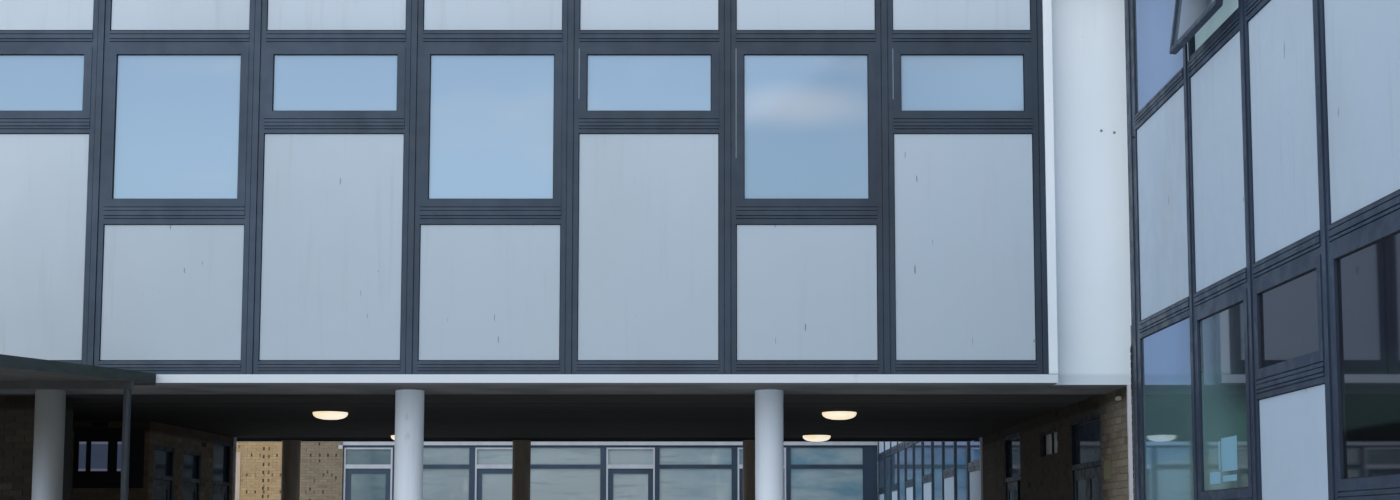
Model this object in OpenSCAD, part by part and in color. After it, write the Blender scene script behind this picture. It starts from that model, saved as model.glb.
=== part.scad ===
// School building round a courtyard: an upper storey on round columns over an open passage,
// a two-storey wing that meets it at right angles, and a glazed single-storey range behind.
// Millimetres. X runs along the block over the passage, Y runs into the courtyard, Z is up.
// Places are first given on site axes: x = 0 is the wing's glazed face, y = 0 is the face of
// the block over the passage, z = 0 is the ground. The model is then centred on its plan.

/* [Curtain wall] */
// Width of a mullion with the frames on both sides of it
mull_w = 174; // [140:2:200]
// Width of the cap down the middle of a mullion
cap_w = 59; // [40:1:80]
// Depth of a mullion from its cap to its back
mull_d = 200; // [160:10:240]
// Width of the rails and stiles of a casement
rail_w = 78; // [60:1:90]
// Bay of the front of the block over the passage
bay_w = 1600; // [1400:10:1800]
// Opening angle of the one vent that stands open
vent_angle = 8; // [0:1:20]

/* [Levels] */
// Underside of the edge beams over the passage
soffit_z = 2970; // [2900:10:3100]
// Height of the white band at the foot of the block over the passage
trim_h = 85; // [60:5:120]
// Height of the transom under the lowest panel
foot_transom_h = 140; // [100:5:160]
// Height of a panel under a tall window
low_panel_h = 1390; // [1200:10:1500]
// Height of a panel under a small window
high_panel_h = 2326; // [2200:2:2400]
// Height of the transom under a tall window
low_transom_h = 178; // [150:1:190]
// Height of the transom under a small window
high_transom_h = 151; // [120:1:170]
// Top of the upper windows
head_z = 6418; // [6350:2:6450]
// Height of the transom over a window
head_transom_h = 173; // [150:1:190]
// Top of the wing's upper windows, which is the underside of its roof
wing_head_z = 7000; // [6900:10:7040]
// Drop from the upper storey to the same line of the storey below
storey_h = 3015; // [2960:5:3060]
// Top of the parapets, under the copings
parapet_z = 7290; // [7150:10:7500]
// Thickness of the copings
coping_t = 60; // [40:5:80]
// Overhang of the copings
overhang = 30; // [10:5:60]
// Thickness of the floor slabs
slab_t = 200; // [150:10:240]
// Height of the ground floor above the ground
plinth_h = 60; // [40:5:100]

/* [Block over the passage] */
// Whole bays of its front, beside the short bay next to the wing
link_bays = 9; // [7:1:9]
// Centre of the mullion between the short bay and the first whole bay
link_first_x = -2501; // [-2520:1:-2480]
// Depth of the block, from its front face to its rear face
link_d = 11100; // [10950:50:11200]
// Diameter of the columns
column_d = 300; // [250:10:340]
// Distance between columns along the front
column_step = 3796; // [3700:2:3900]
// Column nearest the wing, along X
column_x = -3659; // [-3700:1:-3600]
// Front row of columns, behind the front face
column_front_y = 900; // [700:10:1000]
// Rear row of columns, behind the front face
column_rear_y = 10700; // [10500:10:10800]
// Diameter of the round lights on the ceiling of the passage
light_d = 434; // [300:2:500]

/* [Wing] */
// Width of the wing
wing_w = 7000; // [6800:50:7400]
// Front face of the wing
wing_south_y = -7130; // [-7400:10:-7130]
// Rear face of the wing and of the range
north_y = 31800; // [31500:10:32000]
// Width of the white pier between the wing and the block
pier_w = 790; // [700:5:850]
// How far the white pier stands back from the front face
pier_y = 206; // [200:1:240]

/* [Passage] */
// Left wall of the passage, along X
west_wall_x = -11933; // [-12000:1:-11900]
// Rear end of the passage's side walls
passage_end_y = 9790; // [9780:10:9850]
// Thickness of the brick walls
brick_t = 250; // [200:10:300]
// Height of a door leaf
leaf_h = 2140; // [2050:10:2200]
// Thickness of a door leaf
leaf_t = 44; // [40:1:54]
// Gap round a door leaf
leaf_gap = 6; // [5:1:8]

/* [Canopy] */
// Right verge of the canopy, along X
canopy_x = -9830; // [-9900:5:-9700]
// Width of the canopy
canopy_w = 4800; // [4000:50:5500]
// How far the canopy reaches out from the block
canopy_reach = 4200; // [3600:50:4800]
// Top of the canopy where it meets the block
canopy_top_z = 3065; // [3040:5:3080]
// Thickness of the canopy's roof
canopy_t = 100; // [80:5:120]
// Fall of the canopy's roof for each millimetre that it reaches out
canopy_fall = 0.055; // [0.03:0.005:0.06]
// Diameter of the canopy's posts
post_d = 73; // [50:1:90]

/* [Range] */
// Bay of the wing's face along the courtyard
court_bay = 1584; // [1560:2:1600]
// Underside of the white fascia
range_fascia_z = 3816; // [3780:2:3850]
// Height of the white fascia
range_fascia_h = 344; // [300:4:400]
// Distance from one glazed pair to the next
range_bay = 3490; // [3400:10:3490]
// Width of a narrow light
range_leaf_w = 1290; // [1200:10:1300]

/* [Hidden] */
$fn = 48;

frame_blue = "#3b4754";
panel_grey = "#a3b1bd";
render_white = "#c3cddb";
glass_blue = "#8fb0cc";
brick_buff = "#8a7a61";
concrete_grey = "#9a9c9c";
dark_metal = "#2c3034";

// Levels of the upper storey over the passage
trim_top = soffit_z + trim_h;
upper_panel_z = trim_top + foot_transom_h;
upper_low_z = upper_panel_z + low_panel_h;
upper_high_z = upper_panel_z + high_panel_h;
head_top = head_z + head_transom_h;
// Levels of the wing
wing_head_top = wing_head_z + head_transom_h;
wing_roof_top = wing_head_z + slab_t;
ground_panel_z = upper_panel_z - storey_h;
ground_low_z = upper_low_z - storey_h;
ground_high_z = upper_high_z - storey_h;
ground_head_z = head_z - storey_h;
storey_z = ground_head_z + head_transom_h;
slab_z = storey_z - slab_t;
inner_soffit_z = soffit_z + 30;

// Depths behind the face of a curtain wall
side_face = 10;
groove_face = 22;
frame_back = 70;
box_w = 60;
panel_face = 24;
panel_back = 84;
shadow_gap = 8;
sash_face = 4;
sash_back = 64;
pane_face = 28;
pane_t = 24;
pane_edge = 12;
groove_w = 7;
// Depths of the plainer curtain walls of the back and the sides
plain_frame_back = 50;
plain_sheet_back = 90;

// Plan of the whole building
party_t = 212;
link_end_x = link_first_x - bay_w * link_bays - mull_w / 2;
west_x = link_end_x - party_t;
backing_t = 150;
pier_back_y = mull_d + backing_t;
link_back_y = link_d - plain_sheet_back;
wing_corner_y = wing_south_y + 250;
north_wall_y = north_y - 250;
end_frame_x = -pier_w - 89;
centre = [(west_x + wing_w) / 2, (wing_south_y + north_y) / 2, 0];

// Mullions of the wing's west face, before and behind the passage
wing_bay = 1615;
wing_front_us = [for (k = [0:3]) wing_corner_y + mull_w / 2 + wing_bay * k];
corner_frame_w = 332;
court_bays = 11;
court_us = [for (k = [0:court_bays]) passage_end_y + mull_w / 2 + court_bay * k];
// Front face of the range, across the courtyard
range_y = court_us[court_bays] + mull_w / 2;

// A bay's pieces from the bottom up: kind, bottom, top
function upper_stack(tall) = [
    ["transom", trim_top, upper_panel_z],
    ["panel", upper_panel_z, tall ? upper_low_z : upper_high_z],
    ["transom", tall ? upper_low_z : upper_high_z, window_z(tall)],
    ["window", window_z(tall), head_z],
    ["transom", head_z, head_top],
    ["panel", head_top, parapet_z]
];
function window_z(tall) = tall ? upper_low_z + low_transom_h : upper_high_z + high_transom_h;
function ground_stack(tall, kind) = [
    ["transom", plinth_h, ground_panel_z],
    ["panel", ground_panel_z, tall ? ground_low_z : ground_high_z],
    ["transom", tall ? ground_low_z : ground_high_z, window_z(tall) - storey_h],
    [kind, window_z(tall) - storey_h, ground_head_z],
    ["transom", ground_head_z, storey_z]
];
function first_stack(kind) = [
    ["panel", storey_z, upper_high_z],
    ["transom", upper_high_z, window_z(false)],
    [kind, window_z(false), wing_head_z],
    ["transom", wing_head_z, wing_head_top],
    ["panel", wing_head_top, parapet_z]
];

// Bays of the front of the block over the passage: left edge, right edge, pieces
link_us = [for (k = [0:link_bays]) link_first_x - bay_w * k];
link_front_bays = concat(
    [[link_first_x + mull_w / 2, end_frame_x - 119, upper_stack(false)]],
    [for (k = [0:link_bays - 1])
        [link_us[k + 1] + mull_w / 2, link_us[k] - mull_w / 2, upper_stack(k % 2 == 0)]]
);
corner_u = pier_y - corner_frame_w / 2;
wing_west_bays = concat(
    [
        [wing_front_us[3] + mull_w / 2, corner_u - corner_frame_w / 2,
            concat(ground_stack(true, "fixed"), first_stack("fixed"))],
        [wing_front_us[2] + mull_w / 2, wing_front_us[3] - mull_w / 2,
            concat(ground_stack(true, "window"), first_stack("vent"))],
        [wing_front_us[1] + mull_w / 2, wing_front_us[2] - mull_w / 2,
            concat(ground_stack(false, "window"), first_stack("window"))],
        [wing_front_us[0] + mull_w / 2, wing_front_us[1] - mull_w / 2,
            concat(ground_stack(true, "window"), first_stack("window"))]
    ],
    [for (k = [0:court_bays - 1])
        [court_us[k] + mull_w / 2, court_us[k + 1] - mull_w / 2,
            k == 0 ? ground_stack(false, "fixed")
                   : concat(ground_stack(k % 2 == 1, "fixed"), first_stack("fixed"))]]
);

// Doors: low edge of the opening, high edge, head of the opening, hinge on the high edge
door_jamb = 55;
frame_d = 110;
leaf_face = 20;
door_a = [1590, 3170, 2800];
door_b = [6457, 7750, 2880];
door_c = [6100, 6940, 2680];
door_d = [7300, 8140, 2680];
door_e = [8700, 9640, 2900];
door_b_leaf_w = 900;
leaf_z = plinth_h + leaf_gap + 2;
leaf_top_z = leaf_z + leaf_h;
window_hole = [3935, 5021, 2430, 2790];

// Puts site axes on the centre of the plan
module on_site() translate(-centre) children();
// Turns along, in, up into the wing's west face, which looks towards -X
module west_face(x = 0) translate([x, 0, 0]) mirror([1, -1, 0]) children();
// Turns along, in, up into a face that looks towards +X
module east_face(x) translate([x, 0, 0]) rotate([0, 0, 90]) children();
// Turns along, in, up into a face that looks towards +Y
module north_face(y) translate([0, y, 0]) mirror([0, 1, 0]) children();

// A box from its lowest to its highest corner
module span(low, high) translate(low) cube(high - low);

// A mullion: cap, grooves, side frames and the box behind them, drawn in plan
module mullion_section(w) {
    c = cap_w / 2;
    g = c + groove_w;
    b = box_w / 2;
    polygon([
        [-c, 0], [c, 0], [c, groove_face], [g, groove_face], [g, side_face], [w / 2, side_face],
        [w / 2, frame_back], [b, frame_back], [b, mull_d], [-b, mull_d], [-b, frame_back],
        [-w / 2, frame_back], [-w / 2, side_face], [-g, side_face], [-g, groove_face],
        [-c, groove_face]
    ]);
}
module mullion(u, z0, z1, w = mull_w) translate([u, 0, z0]) linear_extrude(z1 - z0) mullion_section(w);

// A transom from the bottom up: frame, rib, drip nose and sill rib with grooves between them,
// and the box behind, drawn from the side
rib_h = 22;
rib_face = 5;
sill_rib_h = 28;
module transom_section(h) {
    nose = 0.46 * h;
    rib = nose - rib_h;
    sill = h - shadow_gap - sill_rib_h;
    mid = h / 2;
    b = 25;
    polygon([
        [side_face, 0], [side_face, rib - groove_w], [groove_face, rib - groove_w], [groove_face, rib],
        [rib_face, rib], [rib_face, nose], [groove_face, nose], [groove_face, nose + groove_w],
        [0, nose + groove_w], [2, sill - groove_w], [groove_face, sill - groove_w], [groove_face, sill],
        [2, sill], [4, h - shadow_gap], [groove_face, h - shadow_gap], [groove_face, h],
        [frame_back, h], [frame_back, mid + b], [mull_d, mid + b], [mull_d, mid - b],
        [frame_back, mid - b], [frame_back, 0]
    ]);
}
module transom(u0, u1, z0, z1)
    translate([u0, 0, z0]) rotate([90, 0, 90]) linear_extrude(u1 - u0) transom_section(z1 - z0);

// An infill panel with a shadow gap round its raised face
module panel(u0, u1, z0, z1) {
    span([u0, panel_face + 10, z0], [u1, panel_back, z1]);
    span([u0 + shadow_gap, panel_face, z0 + shadow_gap], [u1 - shadow_gap, panel_face + 11, z1 - shadow_gap]);
}

// A rectangular ring in the plane of the wall, from depth d0 to depth d1
module ring(u0, u1, z0, z1, edge, d0, d1)
    translate([u0, d1, z0]) rotate([90, 0, 0]) linear_extrude(d1 - d0) difference() {
        square([u1 - u0, z1 - z0]);
        translate([edge, edge]) square([u1 - u0 - 2 * edge, z1 - z0 - 2 * edge]);
    }

// A casement: a lip in front of the pane and a wider rebate behind it
module casement(u0, u1, z0, z1, rail = rail_w) {
    seat = rail - pane_edge;
    difference() {
        span([u0, sash_face, z0], [u1, sash_back, z1]);
        span([u0 + rail, -1, z0 + rail], [u1 - rail, sash_back + 1, z1 - rail]);
        span([u0 + seat, pane_face, z0 + seat], [u1 - seat, sash_back + 1, z1 - seat]);
    }
}
module casement_pane(u0, u1, z0, z1, rail = rail_w) {
    seat = rail - pane_edge;
    span([u0 + seat, pane_face, z0 + seat], [u1 - seat, pane_face + pane_t, z1 - seat]);
}

// A vent hung at its top edge and held open, in a fixed frame with a slim head to hang from
vent_frame_w = 32;
vent_gap = 3;
vent_head_d = 26;
vent_edge = vent_frame_w + vent_gap;
module hung(z1) translate([0, sash_back, z1 - vent_frame_w]) rotate([-vent_angle, 0, 0])
    translate([0, -sash_back, -(z1 - vent_frame_w)]) children();
module vent(u0, u1, z0, z1) {
    hung(z1) casement(u0 + vent_edge, u1 - vent_edge, z0 + vent_edge, z1 - vent_frame_w, rail_w - vent_frame_w);
    difference() {
        ring(u0, u1, z0, z1, vent_frame_w, sash_face + 12, sash_back);
        span([u0 + vent_frame_w, 0, z1 - vent_frame_w - 1], [u1 - vent_frame_w, sash_back - vent_head_d, z1 + 1]);
    }
    span([u0 + 1, sash_back - vent_head_d, z1 - vent_edge - 3], [u1 - 1, sash_back, z1 - vent_frame_w + 1]);
}
module vent_pane(u0, u1, z0, z1)
    hung(z1) casement_pane(u0 + vent_edge, u1 - vent_edge, z0 + vent_edge, z1 - vent_frame_w,
                           rail_w - vent_frame_w);

// One kind of piece out of every bay of a curtain wall
module bay_transoms(bays) for (b = bays, s = b[2]) if (s[0] == "transom") transom(b[0], b[1], s[1], s[2]);
module bay_panels(bays) for (b = bays, s = b[2]) if (s[0] == "panel") panel(b[0], b[1], s[1], s[2]);
module bay_casements(bays) for (b = bays, s = b[2]) {
    if (s[0] == "window") casement(b[0], b[1], s[1], s[2]);
    if (s[0] == "vent") vent(b[0], b[1], s[1], s[2]);
}
module bay_glass(bays) for (b = bays, s = b[2]) {
    if (s[0] == "window") casement_pane(b[0], b[1], s[1], s[2]);
    if (s[0] == "vent") vent_pane(b[0], b[1], s[1], s[2]);
    if (s[0] == "fixed") span([b[0], pane_face, s[1]], [b[1], pane_face + pane_t, s[2]]);
}

// The plainer curtain walls: a grid of bars in front of sheets
module plain_grid(us, z0, z1, bars) {
    for (u = us) {
        span([u - mull_w / 2, side_face, z0], [u + mull_w / 2, plain_frame_back, z1]);
        span([u - cap_w / 2, 0, z0], [u + cap_w / 2, side_face + 1, z1]);
    }
    for (b = bars) span([us[0], side_face, b[0]], [us[len(us) - 1], plain_frame_back, b[1]]);
}
module plain_sheet(u0, u1, z0, z1) span([u0, plain_frame_back, z0], [u1, plain_sheet_back, z1]);

south_us = [for (k = [0:4]) 300 + mull_w / 2 + (wing_w - 600 - mull_w) / 4 * k];
east_us = [for (k = [0:24]) wing_corner_y + mull_w / 2 + (north_wall_y - wing_corner_y - mull_w) / 24 * k];
rear_us = [for (k = [0:10]) link_end_x + mull_w / 2 - (link_end_x + mull_w) / 10 * k];
two_storey_bars = [
    [plinth_h, ground_panel_z], [ground_low_z, ground_low_z + low_transom_h],
    [ground_head_z, storey_z], [upper_high_z, upper_high_z + high_transom_h], [wing_head_z, wing_head_top]
];
upper_bars = [[inner_soffit_z, upper_panel_z], [upper_high_z, upper_high_z + high_transom_h], [head_z, head_top]];
ground_mid_z = ground_low_z + low_transom_h / 2;
storey_mid_z = ground_head_z + head_transom_h / 2;
upper_mid_z = upper_high_z + high_transom_h / 2;
head_mid_z = head_z + head_transom_h / 2;
wing_head_mid_z = wing_head_z + head_transom_h / 2;
module plain_panels(u0, u1) {
    plain_sheet(u0, u1, plinth_h, ground_mid_z);
    plain_sheet(u0, u1, storey_mid_z, upper_mid_z);
    plain_sheet(u0, u1, wing_head_mid_z, parapet_z);
}
module plain_glass(u0, u1) {
    plain_sheet(u0, u1, ground_mid_z, storey_mid_z);
    plain_sheet(u0, u1, upper_mid_z, wing_head_mid_z);
}

// Block over the passage
module link_columns() color(concrete_grey) on_site()
    for (k = [0:3], row = [[column_front_y, soffit_z], [column_rear_y, inner_soffit_z]])
        translate([column_x - column_step * k, row[0], 0]) cylinder(h = row[1], d = column_d);

module link_edge_beams() color(concrete_grey) on_site() {
    span([link_end_x, mull_d, soffit_z], [0 - pier_w, 1350, slab_z]);
    span([link_end_x, 9950, inner_soffit_z], [0, link_back_y, slab_z]);
}

module link_floor_slab() color(concrete_grey) on_site() union() {
    span([link_end_x, mull_d, slab_z], [-pier_w, link_back_y, storey_z]);
    span([-pier_w - 1, pier_back_y, slab_z], [0, link_back_y, storey_z]);
}

module link_soffit() color(dark_metal) on_site() union() {
    span([link_end_x, 1350, inner_soffit_z], [0, 9950, inner_soffit_z + 30]);
    span([-pier_w, pier_back_y, inner_soffit_z], [0, 1351, inner_soffit_z + 30]);
}

module link_soffit_lights() color("#e8d9b0") on_site()
    for (x = [-2670, -9114], y = [4360, 9310])
        translate([x, y, inner_soffit_z]) mirror([0, 0, 1]) rotate_extrude() {
            r = light_d / 2;
            polygon([[0, 0], [r, 0], [r, 28], [r * 0.94, 52], [r * 0.78, 74], [r * 0.5, 90], [0, 98]]);
        }

module link_front_mullions() color(frame_blue) on_site() {
    for (u = link_us) mullion(u, trim_top, parapet_z);
    translate([end_frame_x - 119, 0, trim_top]) linear_extrude(parapet_z - trim_top)
        polygon([
            [0, side_face], [57, side_face], [57, groove_face], [57 + groove_w, groove_face],
            [57 + groove_w, 0], [119, 0], [119, mull_d], [59, mull_d], [59, frame_back], [0, frame_back]
        ]);
}
module link_front_transoms() color(frame_blue) on_site() bay_transoms(link_front_bays);
module link_front_panels() color(panel_grey) on_site() bay_panels(link_front_bays);
module link_front_casements() color(frame_blue) on_site() bay_casements(link_front_bays);
module link_front_glass() color(glass_blue) on_site() bay_glass(link_front_bays);

trim_out = 12;
module link_white_trim() color(render_white) on_site() {
    span([link_end_x, -trim_out, soffit_z], [-pier_w, mull_d, trim_top]);
    span([end_frame_x, -trim_out, trim_top + 4], [-pier_w, mull_d, parapet_z]);
}

module link_roof() color(concrete_grey) on_site() union() {
    span([link_end_x, mull_d, head_top], [-pier_w, link_back_y, head_top + slab_t]);
    span([-pier_w - 1, pier_back_y, head_top], [0, link_back_y, head_top + slab_t]);
}

// White rendered piers at the corners, and the wall of the wing over the range
module rendered_piers() color(render_white) on_site() {
    union() {
        span([-pier_w, pier_y, soffit_z], [0, pier_back_y, parapet_z]);
        span([-1, pier_y, storey_z], [mull_d, pier_back_y, parapet_z]);
    }
    span([0, wing_south_y, plinth_h], [300, wing_corner_y, parapet_z]);
    span([wing_w - 300, wing_south_y, plinth_h], [wing_w, wing_corner_y, parapet_z]);
    span([0, link_back_y, storey_z], [mull_d, court_us[1] - mull_w / 2, parapet_z]);
    span([0, range_y, plinth_h], [brick_t, range_y + brick_t, slab_z]);
    span([0, range_y, storey_z], [brick_t, north_wall_y, parapet_z]);
}

module party_walls() color(render_white) on_site() {
    span([west_x, 0, 0], [link_end_x, link_d, parapet_z]);
    span([0, north_wall_y, plinth_h], [wing_w, north_y, parapet_z]);
    span([west_x, range_y + brick_t, plinth_h], [link_end_x, north_wall_y, range_fascia_z]);
}

module parapets() color(render_white) on_site() {
    z0 = head_top + slab_t;
    span([link_end_x, mull_d, z0], [-pier_w, pier_back_y, parapet_z]);
    span([link_end_x, link_back_y - backing_t, z0], [0, link_back_y, parapet_z]);
    z1 = wing_roof_top;
    union() {
        span([mull_d, wing_corner_y, z1], [mull_d + backing_t, range_y, parapet_z]);
        span([0, pier_back_y, z1], [mull_d + 1, link_back_y, parapet_z]);
    }
    span([wing_w - plain_sheet_back - backing_t, wing_corner_y, z1],
         [wing_w - plain_sheet_back, north_wall_y, parapet_z]);
    span([300, wing_south_y + plain_sheet_back, z1],
         [wing_w - 300, wing_corner_y - 10, parapet_z]);
}

// Copings in straight lengths with open joints where they meet
module copings() color(frame_blue) on_site() {
    z0 = parapet_z;
    z1 = parapet_z + coping_t;
    o = overhang;
    joint = 6;
    inner = mull_d + backing_t + o;
    outer_t = plain_sheet_back + backing_t + o;
    span([west_x - o, -o, z0], [-o - joint, inner, z1]);
    span([west_x - o, inner + joint, z0], [link_end_x + o, link_d - outer_t - joint, z1]);
    span([west_x - o, link_d - outer_t, z0], [-o - joint, link_d + o, z1]);
    span([-o, wing_south_y - o, z0], [inner, inner, z1]);
    span([-o, inner + joint, z0], [inner, link_d - outer_t - joint, z1]);
    span([-o, link_d - outer_t, z0], [inner, north_wall_y - o - joint, z1]);
    span([-o, north_wall_y - o, z0], [wing_w + o, north_y + o, z1]);
    span([inner + joint, wing_south_y - o, z0], [wing_w + o, wing_south_y + outer_t, z1]);
    span([wing_w - outer_t, wing_south_y + outer_t + joint, z0],
         [wing_w + o, north_wall_y - o - joint, z1]);
}

// Plainer curtain walls of the block's rear, the wing's east face and the wing's front
module back_frames() color(frame_blue) on_site() {
    north_face(link_d) union() plain_grid(rear_us, inner_soffit_z, parapet_z, upper_bars);
    east_face(wing_w) union() plain_grid(east_us, plinth_h, parapet_z, two_storey_bars);
    translate([0, wing_south_y, 0]) union() plain_grid(south_us, plinth_h, parapet_z, two_storey_bars);
}
module back_panels() color(panel_grey) on_site() {
    north_face(link_d) {
        plain_sheet(link_end_x, 0, inner_soffit_z, upper_mid_z);
        plain_sheet(link_end_x, 0, head_mid_z, parapet_z);
    }
    east_face(wing_w) plain_panels(wing_corner_y, north_wall_y);
    translate([0, wing_south_y, 0]) plain_panels(300, wing_w - 300);
}
module back_glass() color(glass_blue) on_site() {
    north_face(link_d) plain_sheet(link_end_x, 0, upper_mid_z, head_mid_z);
    east_face(wing_w) plain_glass(wing_corner_y, north_wall_y);
    translate([0, wing_south_y, 0]) plain_glass(300, wing_w - 300);
}

// Wing
module wing_ground_floor() color(concrete_grey) on_site()
    span([0, wing_south_y, 0], [wing_w, north_y, plinth_h]);

module wing_slab(z0) union() {
    span([mull_d, wing_corner_y, z0], [wing_w - plain_sheet_back, north_wall_y, z0 + slab_t]);
    span([300, wing_south_y + plain_sheet_back, z0], [wing_w - 300, wing_corner_y + 1, z0 + slab_t]);
    span([0, range_y, z0], [mull_d + 1, north_wall_y, z0 + slab_t]);
}
module wing_first_floor() color(concrete_grey) on_site() union() {
    wing_slab(slab_z);
    span([0, pier_y, slab_z], [mull_d + 1, passage_end_y, storey_z]);
}
module wing_roof() color(concrete_grey) on_site() difference() {
    union() {
        wing_slab(wing_head_z);
        span([0, pier_back_y, head_top], [mull_d + 1, link_back_y, wing_roof_top]);
    }
    span([-1, range_y, wing_head_z - 1], [brick_t, north_wall_y + 1, wing_roof_top + 1]);
}

module wing_west_mullions() color(frame_blue) on_site() west_face() {
    for (u = wing_front_us) mullion(u, plinth_h, parapet_z);
    mullion(corner_u, plinth_h, parapet_z, corner_frame_w);
    mullion(court_us[0], plinth_h, storey_z);
    for (k = [1:court_bays]) mullion(court_us[k], plinth_h, parapet_z);
}
module wing_west_transoms() color(frame_blue) on_site() west_face() bay_transoms(wing_west_bays);
module wing_west_panels() color(panel_grey) on_site() west_face() bay_panels(wing_west_bays);
module wing_west_casements() color(frame_blue) on_site() west_face() bay_casements(wing_west_bays);
module wing_west_glass() color(glass_blue) on_site() west_face() bay_glass(wing_west_bays);

// Passage: brick side walls with their doors
module passage_east_wall() color(brick_buff) on_site() {
    span([0, pier_y, plinth_h], [brick_t, door_a[0], slab_z]);
    difference() {
        span([0, door_a[1], plinth_h], [brick_t, door_b[0], slab_z]);
        span([-1, window_hole[0], window_hole[2]], [brick_t + 1, window_hole[1], window_hole[3]]);
    }
    span([0, door_b[1], plinth_h], [brick_t, passage_end_y, slab_z]);
}
west_wall_t = 200;
module passage_west_wall() color(brick_buff) on_site() {
    for (edges = [[door_c[1], door_d[0]], [door_d[1], door_e[0]]])
        span([west_wall_x - west_wall_t, edges[0], plinth_h], [west_wall_x, edges[1], inner_soffit_z]);
}
module door_lintels() color(brick_buff) on_site() {
    for (d = [door_a, door_b]) span([0, d[0], d[2]], [brick_t, d[1], slab_z]);
    for (d = [door_c, door_d, door_e])
        span([west_wall_x - west_wall_t, d[0], d[2]], [west_wall_x, d[1], inner_soffit_z]);
}

// Door frames: jambs, and between them the bar over the leaf and the head over the overlight
leaf_clear_z = leaf_top_z + leaf_gap;
over_bar_h = 60;
head_h = 55;
module jambs(d) {
    span([d[0], 0, plinth_h], [d[0] + door_jamb, frame_d, d[2]]);
    span([d[1] - door_jamb, 0, plinth_h], [d[1], frame_d, d[2]]);
}
module heads(d) {
    span([d[0] + door_jamb, 0, leaf_clear_z], [d[1] - door_jamb, frame_d, leaf_clear_z + over_bar_h]);
    span([d[0] + door_jamb, 0, d[2] - head_h], [d[1] - door_jamb, frame_d, d[2]]);
}
module overlight(d) span([d[0] + door_jamb, 50, leaf_clear_z + over_bar_h],
                         [d[1] - door_jamb, 74, d[2] - head_h]);
side_post_w = 50;
side_post_u = door_b[1] - door_jamb - door_b_leaf_w - 2 * leaf_gap - side_post_w;

module door_jambs() color(frame_blue) on_site() {
    west_face() {
        jambs(door_a);
        jambs(door_b);
        span([side_post_u, 0, plinth_h], [side_post_u + side_post_w, frame_d, leaf_clear_z]);
    }
    east_face(west_wall_x) for (d = [door_c, door_d, door_e]) jambs(d);
}
module door_heads() color(frame_blue) on_site() {
    west_face() for (d = [door_a, door_b]) heads(d);
    east_face(west_wall_x) for (d = [door_c, door_d, door_e]) heads(d);
}

// Small window high in the passage's right wall
high_window_edge = 50;
high_window_mid = (window_hole[0] + window_hole[1]) / 2;
module high_window_frame() color(frame_blue) on_site() west_face() union() {
    ring(window_hole[0], window_hole[1], window_hole[2], window_hole[3], high_window_edge, 40, 110);
    span([high_window_mid - 25, 40, window_hole[2] + high_window_edge - 1],
         [high_window_mid + 25, 110, window_hole[3] - high_window_edge + 1]);
}
module passage_glass() color(glass_blue) on_site() {
    west_face() {
        overlight(door_a);
        overlight(door_b);
        span([door_b[0] + door_jamb, 50, plinth_h], [side_post_u, 74, leaf_clear_z]);
        for (u = [[window_hole[0] + high_window_edge, high_window_mid - 25],
                  [high_window_mid + 25, window_hole[1] - high_window_edge]])
            span([u[0], 60, window_hole[2] + high_window_edge], [u[1], 84, window_hole[3] - high_window_edge]);
    }
    east_face(west_wall_x) for (d = [door_c, door_d, door_e]) overlight(d);
}

// A door leaf with a glazed panel let into both faces. It turns on pins at the foot and the head of
// a round stile, which keeps the same gap to the jamb at every angle
stile_d = leaf_t + 6;
pivot_depth = leaf_face + leaf_t / 2;
pin_d = 14;
pin_in = 22;
bore_d = pin_d + 2;
bore_in = pin_in + 5;
pane_sink = 16;
pane_inset = 110;
module leaf(hung, free) {
    u_pivot = hung + sign(free - hung) * stile_d / 2;
    u0 = min(u_pivot, free);
    u1 = max(u_pivot, free);
    low = min(hung, free) + pane_inset;
    high = max(hung, free) - pane_inset;
    difference() {
        union() {
            span([u0, leaf_face, leaf_z], [u1, leaf_face + leaf_t, leaf_top_z]);
            translate([u_pivot, pivot_depth, leaf_z]) cylinder(h = leaf_h, d = stile_d);
        }
        for (face = [[-1, leaf_face + pane_sink], [leaf_face + leaf_t - pane_sink, leaf_face + leaf_t + 1]])
            for (pane = [[leaf_z + 250, leaf_z + 900], [leaf_z + 1000, leaf_top_z - 120]])
                span([low, face[0], pane[0]], [high, face[1], pane[1]]);
        for (z = [leaf_z - 1, leaf_top_z - bore_in])
            translate([u_pivot, pivot_depth, z]) cylinder(h = bore_in + 1, d = bore_d);
    }
}
module pins(hung, side) for (z = [[plinth_h, leaf_z + pin_in], [leaf_top_z - pin_in, leaf_clear_z]])
    translate([hung + side * stile_d / 2, pivot_depth, z[0]]) cylinder(h = z[1] - z[0], d = pin_d);

function leaf_low(d) = d[0] + door_jamb + leaf_gap;
function leaf_high(d) = d[1] - door_jamb - leaf_gap;
door_a_mid = (leaf_low(door_a) + leaf_high(door_a)) / 2;
module door_a_left() color(dark_metal) on_site() west_face() leaf(leaf_high(door_a), door_a_mid + leaf_gap / 2);
module door_a_right() color(dark_metal) on_site() west_face() leaf(leaf_low(door_a), door_a_mid - leaf_gap / 2);
module door_b_leaf() color(dark_metal) on_site() west_face()
    leaf(leaf_high(door_b), leaf_high(door_b) - door_b_leaf_w);
module door_c_leaf() color(dark_metal) on_site() east_face(west_wall_x) leaf(leaf_low(door_c), leaf_high(door_c));
module door_d_leaf() color(dark_metal) on_site() east_face(west_wall_x) leaf(leaf_low(door_d), leaf_high(door_d));
module door_e_leaf() color(dark_metal) on_site() east_face(west_wall_x) leaf(leaf_high(door_e), leaf_low(door_e));
module door_pivots() color("silver") on_site() {
    west_face() {
        pins(leaf_high(door_a), -1);
        pins(leaf_low(door_a), 1);
        pins(leaf_high(door_b), -1);
    }
    east_face(west_wall_x) {
        pins(leaf_low(door_c), 1);
        pins(leaf_low(door_d), 1);
        pins(leaf_high(door_e), -1);
    }
}

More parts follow.
